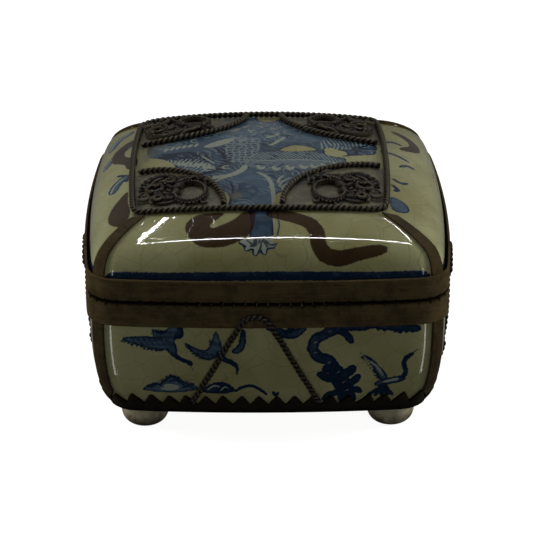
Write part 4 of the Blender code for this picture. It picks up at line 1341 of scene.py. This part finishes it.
def make_lid_straps(settings):
    """Flat straps from the wire frame down the dome's corners to the rim."""
    material = aged_and_shaded_sheet("lid_strap_finish", tuple(settings.sheet), dark=0.35)
    steps = 40
    for corner, degrees in CORNERS.items():
        sign_x, sign_y = corner_signs(degrees)
        x = sign_x * FRAME_CORNER - FRAME_SHIFT / 2
        y = sign_y * (FRAME_CORNER + WIRE * 0.7 + FIT)
        start_angle, end_angle = math.atan2(y, x) % (2 * math.pi), math.radians(degrees)
        start_share = math.hypot(x, y) / (DOME_HALF * box_share(start_angle))
        start = math.acos(start_share ** (DOME_POWER / 2))
        end = turn_at_height(end_angle, LID_STRIP_TOP - 0.0004)
        sections = []
        for i in range(steps + 1):
            done = i / steps
            centre_angle = start_angle + (end_angle - start_angle) * min(1.6 * done, 1)
            centre_turn = start + (end - start) * done
            radius = dome_point(centre_angle, centre_turn).xy.length
            half = (STRAP_TOP_WIDTH + (STRAP_WIDTH - STRAP_TOP_WIDTH) * done) / 2
            slant = max(1 - 2.2 * done, 0) / math.tan(centre_angle)

            def section(offset, lift, angle=centre_angle, turn=centre_turn, half=half, slant=slant,
                    radius=radius):
                share = max(math.cos(turn), 0) ** (2 / DOME_POWER)
                share -= offset * half * slant / (DOME_HALF * box_share(angle))
                turned = math.acos(share ** (DOME_POWER / 2))
                there = angle + offset * half / radius
                return dome_point(there, turned) + dome_normal(there, turned) * lift

            sections.append(section)
        finish_strap(f"lid_corner_strap_{corner}", strap_mesh(sections), f"lid_strap_{corner}", material)


def make_base_straps(settings):
    """Flat straps down the base's corners, pointed where they meet the foot strip."""
    material = aged_and_shaded_sheet("base_strap_finish", shaded(settings.sheet, 0.65))
    steps, point_starts = 30, 0.85
    high = BASE_STRIP_Z + 0.0001
    point = TOOTH_ROOT_Z + 2 * FIT
    shoulder = point + TOOTH_HEIGHT * STRAP_WIDTH / TOOTH_PITCH
    for corner, degrees in CORNERS.items():
        angle = math.radians(degrees)
        half = STRAP_WIDTH / 2 / (HALF * box_share(angle))
        sections = []
        for i in range(steps + 1):
            done = i / steps
            pointed = max((done - point_starts) / (1 - point_starts), 0)
            beside = high + (shoulder - high) * done

            def section(offset, lift, beside=beside, pointed=pointed, angle=angle, half=half):
                z = beside - (shoulder - point) * pointed * (1 - abs(offset))
                return wall_point(angle + offset * half, z, lift)

            sections.append(section)
        finish_strap(f"base_corner_strap_{corner}", strap_mesh(sections), f"base_strap_{corner}", material)


# Twisted wire


def even_route(points, step, closed):
    """The same route as points an even step apart."""
    points = np.array(points)
    if closed:
        points = np.vstack([points, points[:1]])
    run = np.concatenate([[0], np.cumsum(np.linalg.norm(np.diff(points[:, :3], axis=0), axis=1))])
    count = max(round(run[-1] / step), 2)
    at = np.linspace(0, run[-1], count + 1)[: count + (not closed)]
    return np.stack([np.interp(at, run, points[:, k]) for k in range(points.shape[1])], axis=1), run[-1]


def tube_mesh(points, radii, closed, sides=8):
    """A round tube through these points, with its own radius at each."""
    curve = bpy.data.curves.new("tube", "CURVE")
    curve.dimensions = "3D"
    curve.bevel_depth = 1
    curve.bevel_resolution = sides // 2 - 2
    curve.use_fill_caps = not closed
    spline = curve.splines.new("POLY")
    spline.points.add(len(points) - 1)
    spline.use_cyclic_u = closed
    spline.points.foreach_set("co", np.c_[points, np.ones(len(points))].ravel())
    spline.points.foreach_set("radius", np.broadcast_to(radii, len(points)))
    holder = bpy.data.objects.new("tube", curve)
    mesh = bpy.data.meshes.new_from_object(holder)
    bpy.data.objects.remove(holder)
    bpy.data.curves.remove(curve)
    return mesh


def make_twisted_wire(settings, name, points, normals, closed, node, material):
    """Two strands twisted together along a route that lies on the box."""
    step = settings.twist / 9
    route, length = even_route(np.hstack([points, normals]), step, closed)
    centres, outward = route[:, :3], route[:, 3:]
    outward /= np.linalg.norm(outward, axis=1)[:, None]
    ahead = np.roll(centres, -1, axis=0) - np.roll(centres, 1, axis=0)
    if not closed:
        ahead[0], ahead[-1] = centres[1] - centres[0], centres[-1] - centres[-2]
    ahead /= np.linalg.norm(ahead, axis=1)[:, None]
    side = np.cross(ahead, outward)
    turns = round(length / settings.twist)
    angle = 2 * math.pi * turns * np.arange(len(centres)) / (len(centres) if closed else len(centres) - 1)
    bm = bmesh.new()
    strand, away = WIRE * 0.34, WIRE * 0.29
    for half_turn in (0, math.pi):
        swing = angle + half_turn
        places = centres + (side * np.cos(swing)[:, None] + outward * np.sin(swing)[:, None]) * away
        mesh = tube_mesh(places, strand, closed)
        bm.from_mesh(mesh)
        bpy.data.meshes.remove(mesh)
    piece = to_object(name, bm, material, [node], 80)
    tree = kdtree.KDTree(len(centres))
    for i, centre in enumerate(centres):
        tree.insert(centre, i)
    tree.balance()
    # The crest sets the finish's painted shade and highlight: it grows with the distance from the wire's middle
    # and with the lift away from the glaze.
    crest = []
    for v in piece.data.vertices:
        _, i, gap = tree.find(v.co)
        rise = (v.co - Vector(centres[i])).dot(Vector(outward[i])) / (WIRE / 2)
        crest.append(0.80 * (gap - WIRE * 0.36) / (WIRE * 0.26) + 0.30 * rise)
    give(piece.data, "crest", crest)


def on_dome(places):
    """The points of a wire that lies over these (place on the dome, way out) pairs, and the ways out."""
    lift = FIT * 0.6 + WIRE / 2
    return [place + normal * lift for place, normal in places], [normal for _, normal in places]


def frame_route():
    steps = 480
    places = []
    for k in range(steps):
        a = 2 * math.pi * k / steps
        radius = plan_radius(a, FRAME_HALF, FRAME_SWELL, FRAME_CORNER_CUT)
        places.append(over_lid(radius * math.cos(a) - FRAME_SHIFT, radius * math.sin(a)))
    return on_dome(places)


def spandrel_route(degrees):
    reach_x, reach_y = arc_reach(degrees)
    clear = WIRE + 2 * FIT - FRAME_SWELL * 0.8
    start, end = (math.asin(clear / reach) * 0.8 for reach in (reach_y, reach_x))
    angles = np.linspace(start, math.pi / 2 - end, 61).tolist()
    return on_dome([from_frame_corner(degrees, reach_x * math.cos(a), reach_y * math.sin(a)) for a in angles])


def arch_profile():
    """(offset, height) along a wire arch: two straight legs and a round top."""
    top = BASE_STRIP_Z + ARCH_OVERLAP
    bottom = (TOOTH_ROOT_Z + TOOTH_TIP_Z) / 2
    centre = top - ARCH_RADIUS
    away = math.hypot(ARCH_SPAN / 2, centre - bottom)
    lean = math.asin(ARCH_RADIUS / away) + math.atan2(centre - bottom, ARCH_SPAN / 2)
    touch = math.pi / 2 - lean
    steps, turns = 40, 24
    leg_end = (ARCH_RADIUS * math.cos(touch), centre + ARCH_RADIUS * math.sin(touch))
    leg = [
        (ARCH_SPAN / 2 + (leg_end[0] - ARCH_SPAN / 2) * i / steps, bottom + (leg_end[1] - bottom) * i / steps)
        for i in range(steps)
    ]
    bend = [touch + (math.pi - 2 * touch) * i / turns for i in range(turns + 1)]
    crown = [(ARCH_RADIUS * math.cos(a), centre + ARCH_RADIUS * math.sin(a)) for a in bend]
    return leg + crown + [(-offset, z) for offset, z in reversed(leg)]


def arch_places(degrees):
    facing = math.radians(degrees)
    outward = Vector((math.cos(facing), math.sin(facing), 0))
    rightward = Vector((-math.sin(facing), math.cos(facing), 0))
    points = []
    for offset, z in arch_profile():
        offset -= ARCH_SHIFT
        near_rim = min(max((z - BASE_STRIP_Z + 2.2 * WIRE) / WIRE, 0), 1)
        near_teeth = min(max((TOOTH_TIP_Z + 2.2 * WIRE - z) / WIRE, 0), 1)
        lift = FIT + WIRE / 2 + (STRIP + FIT) * max(near_rim, near_teeth)
        size = (wall_half(z) + lift) / HALF
        reach = size * (HALF - SIDE_SWELL - CORNER_CUT)
        depth = size * (HALF - SIDE_SWELL * (offset / reach) ** 2)
        points.append(outward * depth + rightward * offset + Vector((0, 0, z)))
    return points, [outward] * len(points)


def make_wires(settings):
    """The frame and its four quarter rounds on the lid, and an arch on each side of the base."""
    material = aged_and_shaded_wire("wire_finish", tuple(settings.wire))
    # The arches take the wire's finish at half its colour: painted shade for the base's walls, which get less
    # light than the lid.
    darker = aged_and_shaded_wire("arch_shaded_finish", shaded(settings.wire, 0.5))
    make_twisted_wire(settings, "lid_frame", *frame_route(), True, "lid_frame_wire", material)
    for corner, degrees in CORNERS.items():
        node = f"spandrel_wire_{corner}"
        make_twisted_wire(settings, f"spandrel_{corner}", *spandrel_route(degrees), False, node, material)
    for side, degrees in SIDES.items():
        make_twisted_wire(settings, f"arch_{side}", *arch_places(degrees), False, f"arch_wire_{side}", darker)


# Dragons, in shares of an ornament's length from the frame's corner

RING_CENTRE = (0.708, 0.367)
RING_REACH = (0.204, 0.246)
NECK = ((0.592, 0.558), (0.654, 0.654), (0.758, 0.688), (0.829, 0.667))
HEAD_CENTRE = (0.829, 0.667)
LIMBS = (
    ((0.550, 0.517), (0.517, 0.708), (0.413, 0.829), (0.258, 0.792), (0.167, 0.646)),
    ((0.521, 0.450), (0.392, 0.596), (0.254, 0.554), (0.200, 0.446), (0.275, 0.375)),
    ((0.513, 0.275), (0.429, 0.200), (0.296, 0.183), (0.213, 0.258), (0.300, 0.400), (0.508, 0.388)),
)
CLAWS = (((0.167, 0.646), (-0.4, -1.0)), ((0.275, 0.375), (0.9, -0.4)), ((0.508, 0.388), (1.0, 0.3)))
TAIL = ((0.07, 0.56), (0.13, 0.76), (0.31, 0.87), (0.48, 0.80), (0.63, 0.66))
CLOUDS = (  # (x, y, reach) of each small curl
    (0.44, 0.34, 0.055),
    (0.62, 0.62, 0.05),
    (0.34, 0.68, 0.06),
    (0.50, 0.62, 0.045),
    (0.44, 0.50, 0.05),
    (0.60, 0.08, 0.045),
    (0.88, 0.14, 0.045),
)
FLAMES = (  # (x, y, reach, angle of its start) of each large curl
    (0.24, 0.50, 0.15, 0.4),
    (0.30, 0.22, 0.10, 2.2),
    (0.12, 0.34, 0.09, 4.0),
    (0.44, 0.66, 0.09, 1.0),
)


class Ornament:
    """One dragon under way: tubes and beads over the dome in a corner of the frame, sized in millimetres."""

    def __init__(self, degrees):
        self.degrees = degrees
        self.length = min(min(arc_reach(towards)) for towards in CORNERS.values()) - ORNAMENT_MARGIN
        self.bm = bmesh.new()

    def place(self, share, lift):
        point, normal = from_frame_corner(self.degrees, share[0] * self.length, share[1] * self.length)
        return point + normal * lift

    def tube(self, shares, radii, lifts=None, closed=False, steps=8):
        """A limb through these places, whose radius and height over the glaze run through the given ones."""
        route = shares if closed else smooth_route(shares, steps)
        at = np.linspace(0, 1, len(route))
        given = (radii, lifts or radii)
        sizes, rises = (np.interp(at, np.linspace(0, 1, len(row)), np.array(row) * MM) for row in given)
        if lifts is None:
            rises = sizes * 0.95 + FIT * 0.4
        points = [self.place(share, rise) for share, rise in zip(route, rises)]
        mesh = tube_mesh(np.array(points), sizes, closed, 10)
        self.bm.from_mesh(mesh)
        bpy.data.meshes.remove(mesh)

    def bead(self, share, radius, lift, flat=1):
        made = bmesh.ops.create_icosphere(self.bm, subdivisions=2, radius=radius * MM)["verts"]
        bmesh.ops.scale(self.bm, vec=(1, 1, flat), verts=made)
        bmesh.ops.translate(self.bm, vec=self.place(share, lift * MM), verts=made)


def ring_share(turn, grow=1.0):
    """A place on the ring of the body, or inside or outside it."""
    reach_x, reach_y = RING_REACH[0] * grow, RING_REACH[1] * grow
    return RING_CENTRE[0] + reach_x * math.cos(turn), RING_CENTRE[1] + reach_y * math.sin(turn)


def dragon_body(work):
    """The scaled ring of the body, with a bead on each scale."""
    turns = np.linspace(0, 2 * math.pi, 64, endpoint=False)
    work.tube([ring_share(t) for t in turns], [0.92 if i % 2 else 0.78 for i in range(64)], closed=True)
    scales = 30
    for i in range(scales):
        turn = 2 * math.pi * i / scales
        work.bead(ring_share(turn, 0.98), 0.50, 1.7)
        work.bead(ring_share(turn + 0.1, 1.13), 0.42, 1.1)


def dragon_head(work):
    """Neck, skull, snout and jaw, with eyes, horns, whiskers and a mane."""
    work.tube(NECK, (1.1, 1.3, 1.2))
    for i in range(7):
        work.bead((0.58 + 0.035 * i, 0.585 + 0.02 * i), 0.55, 2.3)
    work.bead(HEAD_CENTRE, 2.0, 1.4, 0.75)
    work.bead((0.90, 0.64), 1.35, 1.2, 0.8)
    work.bead((0.965, 0.625), 0.8, 1.2)
    work.tube(((0.88, 0.60), (0.93, 0.57), (0.97, 0.58)), (0.6, 0.5, 0.3))
    for side in (-1, 1):
        horn = ((0.81, 0.68 + side * 0.03), (0.75, 0.72 + side * 0.07), (0.69, 0.73 + side * 0.12))
        whisker = ((0.95, 0.63 + side * 0.03), (0.985, 0.66 + side * 0.07), (0.96, 0.67 + side * 0.12))
        work.bead((0.855, 0.667 + side * 0.038), 0.55, 2.7)
        work.tube(horn, (0.6, 0.5, 0.2), (2.2, 2.6, 2.2))
        work.tube(whisker, (0.4, 0.3, 0.2), (1.1, 1.4, 0.9))
    for i in range(6):
        lean = -0.6 + 0.32 * i
        lock = ((0.79, 0.70), (0.73 - 0.02 * i, 0.74 + 0.03 * lean), (0.68 - 0.03 * i, 0.78 + 0.09 * lean))
        work.tube(lock, (0.6, 0.5, 0.2), (1.8, 1.6, 0.8))


def dragon_limbs(work):
    """Curled limbs, each with a ridge and knuckles, and their spread claws."""
    for limb in LIMBS:
        work.tube(limb, (0.8, 0.82, 0.72, 0.6, 0.4))
        ridge = [(x + 0.035, y - 0.035) for x, y in limb[:-1]]
        work.tube(ridge, (0.3, 0.4, 0.3), (0.5, 0.9, 0.5))
        (x0, y0), (x1, y1) = limb[1:3]
        for k in range(4):
            work.bead((x0 + (x1 - x0) * k / 3, y0 + (y1 - y0) * k / 3), 0.5, 1.7)
    for (x, y), (towards_x, towards_y) in CLAWS:
        work.bead((x, y), 1.0, 1.0)
        for spread in (-0.8, -0.25, 0.3, 0.85):
            dx = towards_x * math.cos(spread) - towards_y * math.sin(spread)
            dy = towards_x * math.sin(spread) + towards_y * math.cos(spread)
            claw = ((x, y), (x + 0.06 * dx, y + 0.06 * dy), (x + 0.10 * dx, y + 0.085 * dy))
            work.tube(claw, (0.6, 0.5, 0.18), (1.0, 1.3, 0.4))


def coil_dragon(work):
    """A coiled dragon: the ring of its body, its head and limbs, small clouds, its tail and flames."""
    dragon_body(work)
    dragon_head(work)
    dragon_limbs(work)
    for *centre, reach in CLOUDS:
        work.tube(curl(centre, reach, 0.35, 0.1, 1.1, 8), (0.35, 0.5, 0.5), steps=4)
    work.tube(((0.52, 0.44), (0.56, 0.50), (0.60, 0.56)), (1.2, 1.3, 1.1))
    work.tube(((0.50, 0.30), (0.53, 0.37), (0.53, 0.45)), (1.0, 1.2, 1.1))
    work.tube(((0.88, 0.50), (0.90, 0.56), (0.88, 0.62)), (0.7, 0.8, 0.7))
    work.tube(TAIL, (0.5, 0.8, 1.0, 1.0, 0.9))
    for i, place in enumerate(smooth_route(TAIL, 5)):
        work.bead(place, 0.45, 1.8 if i % 2 else 1.2)
    for *centre, reach, start in FLAMES:
        flame = curl(centre, reach, 0.25, 0.083, 0.9, 10, start)
        work.tube(flame, (0.4, 0.6, 0.7, 0.5), (2.2, 1.8, 1.0), steps=4)


def each_vector(collection, name, kind=float):
    """One number or vector of each item of a mesh's collection, read at once, as rows of an array."""
    width = 2 if name == "vertices" else 3
    values = np.empty(len(collection) * width, kind)
    collection.foreach_get(name, values)
    return values.reshape(-1, width)


def crests(mesh):
    """For each vertex, from 0 in a hollow to 1 on a crest, by how far it stands out of its neighbours."""
    places, normals = each_vector(mesh.vertices, "co"), each_vector(mesh.vertices, "normal")
    a, b = each_vector(mesh.edges, "vertices", int).T
    links = np.maximum(np.bincount(np.r_[a, b], minlength=len(places)), 1)[:, None]
    smooth = places.copy()
    for _ in range(14):
        total = np.zeros_like(smooth)
        np.add.at(total, a, smooth[b])
        np.add.at(total, b, smooth[a])
        smooth = total / links
    out = ((places - smooth) * normals).sum(axis=1)
    return np.clip(0.36 + out / 0.00017, 0, 1.2)


def melted_together(bm):
    """One closed skin round everything in a bmesh, slightly smoothed. The bmesh is used up."""
    rough = bpy.data.meshes.new("rough_dragon")
    bm.to_mesh(rough)
    bm.free()
    holder = bpy.data.objects.new("rough_dragon", rough)
    bpy.context.scene.collection.objects.link(holder)
    melt = holder.modifiers.new("melt", "REMESH")
    melt.mode = "VOXEL"
    melt.voxel_size = 0.00017
    bpy.context.view_layer.update()
    melted = bpy.data.meshes.new_from_object(holder.evaluated_get(bpy.context.evaluated_depsgraph_get()))
    bpy.data.objects.remove(holder)
    skin = bmesh.new()
    skin.from_mesh(melted)
    every_way = {"use_axis_x": True, "use_axis_y": True, "use_axis_z": True}
    bmesh.ops.smooth_vert(skin, verts=skin.verts, factor=0.15, **every_way)
    bpy.data.meshes.remove(melted)
    bpy.data.meshes.remove(rough)
    return skin


def make_dragons(settings):
    """The four cast dragons, each melted into one openwork piece."""
    material = aged_and_shaded_wire("dragon_finish", shaded(settings.wire, 0.9))
    for corner, degrees in CORNERS.items():
        work = Ornament(degrees)
        coil_dragon(work)
        skin, node = melted_together(work.bm), f"dragon_{corner}"
        piece = to_object(f"coiled_dragon_{corner}", skin, material, [node], 180, tidy=False)
        # How far each place stands out, for the painted shade in the hollows and the painted highlight on the
        # crests.
        give(piece.data, "crest", crests(piece.data))


# Stage


def make_floor():
    """A pale floor that shines by itself but throws no light on the box."""
    bm = bmesh.new()
    bmesh.ops.create_grid(bm, x_segments=1, y_segments=1, size=6)
    mesh = bpy.data.meshes.new("floor")
    bm.to_mesh(mesh)
    bm.free()
    finish = Finish("floor_finish")
    pale, white, glow = (0.6, 0.6, 0.6), (1, 1, 1), 0.93
    mesh.materials.append(
        finish.surface(Base_Color=pale, Roughness=1.0, Emission_Color=white, Emission_Strength=glow)
    )
    floor = bpy.data.objects.new("floor", mesh)
    floor.visible_diffuse = False
    floor.visible_glossy = False
    floor.visible_shadow = False
    bpy.context.scene.collection.objects.link(floor)


CAMERA_ANGLES = (24, 0.4, -0.1)  # elevation, yaw and roll in degrees
CAMERA_DISTANCE = 0.880
CAMERA_LENS = 173.7  # millimetres
CAMERA_AIM = (0.00105, 0, 0.0358)
DARKEST, BRIGHTEST = 0.02, 2.0  # strength of the surroundings before and behind the box
RING_HEIGHT = 1.0
RING_WIDTH = 0.013
RING_STRIPS = (
    ("ring_front", (-0.28, -0.19), (0.47, -0.11)),
    ("ring_left", (-0.28, -0.19), (-0.20, 0.62)),
    ("ring_right", (0.50, 0.10), (0.28, 0.66)),
)


def add_light(name, power, size, place, aim, glossy=True, size_y=None, turn=0.0):
    """A rectangular light. One that isn't glossy lights the box but doesn't show in its reflections."""
    light = bpy.data.lights.new(name, "AREA")
    light.shape = "RECTANGLE"
    light.size = size
    light.size_y = size_y or size
    light.energy = power
    lamp = bpy.data.objects.new(name, light)
    lamp.visible_glossy = glossy
    lamp.location = place
    facing = (Vector(aim) - Vector(place)).to_track_quat("-Z", "Y").to_matrix()
    lamp.rotation_euler = (facing @ Matrix.Rotation(turn, 3, "Z")).to_euler()
    bpy.context.scene.collection.objects.link(lamp)
    return lamp


def add_strip(name, power, start, end):
    """A thin light overhead between two places, shining straight down."""
    middle, along = (start + end) / 2, end - start
    length, turn = along.length, math.atan2(along.y, along.x)
    lamp = add_light(name, power * length, length, middle, middle - Vector((0, 0, 1)), True, RING_WIDTH, turn)
    lamp.visible_diffuse = False


def make_world():
    """Soft white surroundings: bright beside and behind the box, dark towards the viewer."""
    world = bpy.data.worlds.new("studio")
    bpy.context.scene.world = world
    world.use_nodes = True
    nodes = Nodes(world.node_tree)
    place = nodes.node("ShaderNodeTexCoord", {}, {})["Generated"]
    split = nodes.node("ShaderNodeSeparateXYZ", {}, {0: place})
    aside = split["X"].maths("ABSOLUTE", split["X"])
    strength = (aside * 0.8 + split["Y"]).between(-0.5, 0.75, DARKEST, BRIGHTEST)
    nodes.feed(nodes.tree.nodes["Background"].inputs["Strength"], strength)


def make_camera():
    """The camera at the photograph's angle."""
    elevation, yaw, roll = (math.radians(degrees) for degrees in CAMERA_ANGLES)
    away = math.cos(elevation)
    back = Vector((-away * math.sin(yaw), -away * math.cos(yaw), math.sin(elevation)))
    data = bpy.data.cameras.new("camera")
    data.lens = CAMERA_LENS
    data.sensor_width = 36
    camera = bpy.data.objects.new("camera", data)
    turn = (-back).to_track_quat("-Z", "Y").to_matrix().to_4x4() @ Matrix.Rotation(roll, 4, "Z")
    camera.matrix_world = Matrix.Translation(Vector(CAMERA_AIM) + back * CAMERA_DISTANCE) @ turn
    bpy.context.scene.collection.objects.link(camera)
    bpy.context.scene.camera = camera
    bpy.context.scene.view_settings.view_transform = "Standard"


def make_stage(settings):
    """Floor, soft light, and the camera."""
    make_floor()
    make_world()
    add_light("overhead", settings.overhead, 0.9, (0, 0.25, 1.1), (0, 0, 0.05), glossy=False)
    add_light("front", settings.front, 0.8, (0, -0.9, 0.25), (0, 0, 0.03), glossy=False)
    for name, side, share in (("left", -1, 0.9), ("right", 1, 1.15)):
        power, place = settings.sides * share, (side * 0.95, 0.05, 0.30)
        add_light(f"{name}_side", power, 0.22, place, (0, 0, 0.04), glossy=False, size_y=0.55)
        place, aim = (side * 0.45, -0.50, -0.20), (side * 0.05, -0.06, 0.02)
        edge = add_light(f"{name}_edge", settings.edges, 0.07, place, aim, size_y=0.6)
        edge.visible_diffuse = False
    for name, start, end in RING_STRIPS:
        add_strip(name, settings.ring, Vector((*start, RING_HEIGHT)), Vector((*end, RING_HEIGHT)))
    make_camera()


# Operators


class LidGlaze(bpy.types.Operator):
    """Makes the painted and crackled dome of the lid"""

    bl_idname = "lidded_box.lid_glaze"
    bl_label = "Lid"

    def execute(self, context):
        make_lid_glaze(context.scene.box_glaze)
        return {"FINISHED"}


class BaseGlaze(bpy.types.Operator):
    """Makes the painted base and its four feet"""

    bl_idname = "lidded_box.base_glaze"
    bl_label = "Base"

    def execute(self, context):
        make_base_glaze(context.scene.box_glaze)
        return {"FINISHED"}


class SheetMetal(bpy.types.Operator):
    """Makes the strips round the rims and the foot, and the corner straps"""

    bl_idname = "lidded_box.sheet_metal"
    bl_label = "Strips and straps"

    def execute(self, context):
        settings = context.scene.box_metal
        make_rim_binding(settings, "base_rim_binding", BASE_STRIP_Z, JOINT_Z, False, "base_rim_strip")
        make_rim_binding(settings, "lid_rim_binding", LID_STRIP_Z, LID_STRIP_TOP, True, "lid_rim_strip")
        make_foot_binding(settings)
        make_lid_straps(settings)
        make_base_straps(settings)
        return {"FINISHED"}


class Wires(bpy.types.Operator):
    """Makes the twisted wires on the lid and the base"""

    bl_idname = "lidded_box.wires"
    bl_label = "Twisted wires"

    def execute(self, context):
        make_wires(context.scene.box_metal)
        return {"FINISHED"}


class Dragons(bpy.types.Operator):
    """Makes the cast dragons in the frame's corners"""

    bl_idname = "lidded_box.dragons"
    bl_label = "Dragons"

    def execute(self, context):
        make_dragons(context.scene.box_metal)
        return {"FINISHED"}


class Stage(bpy.types.Operator):
    """Makes the floor, the lights and the camera"""

    bl_idname = "lidded_box.stage"
    bl_label = "Stage"

    def execute(self, context):
        make_stage(context.scene.box_stage)
        return {"FINISHED"}


OPERATORS = (LidGlaze, BaseGlaze, SheetMetal, Wires, Dragons, Stage)


class BoxPanel(bpy.types.Panel):
    """Buttons for each group of pieces, and their settings"""

    bl_idname = "VIEW3D_PT_lidded_box"
    bl_label = "Lidded Box"
    bl_space_type = "VIEW_3D"
    bl_region_type = "UI"
    bl_category = "Lidded Box"

    def draw(self, context):
        for group in ("box_glaze", "box_metal", "box_stage"):
            settings = getattr(context.scene, group)
            for name in settings.bl_rna.properties.keys():
                if name not in ("rna_type", "name"):
                    self.layout.prop(settings, name)
        for operator in OPERATORS:
            self.layout.operator(operator.bl_idname)


SETTINGS = {"box_glaze": GlazeSettings, "box_metal": MetalSettings, "box_stage": StageSettings}


def register():
    for kind in (*SETTINGS.values(), *OPERATORS, BoxPanel):
        bpy.utils.register_class(kind)
    for name, kind in SETTINGS.items():
        setattr(bpy.types.Scene, name, bpy.props.PointerProperty(type=kind))


def unregister():
    for name in SETTINGS:
        delattr(bpy.types.Scene, name)
    for kind in (BoxPanel, *OPERATORS, *SETTINGS.values()):
        bpy.utils.unregister_class(kind)


def main():
    register()
    bpy.ops.lidded_box.lid_glaze()
    bpy.ops.lidded_box.base_glaze()
    bpy.ops.lidded_box.sheet_metal()
    bpy.ops.lidded_box.wires()
    bpy.ops.lidded_box.dragons()
    bpy.ops.lidded_box.stage()


if __name__ == "__main__":
    main()
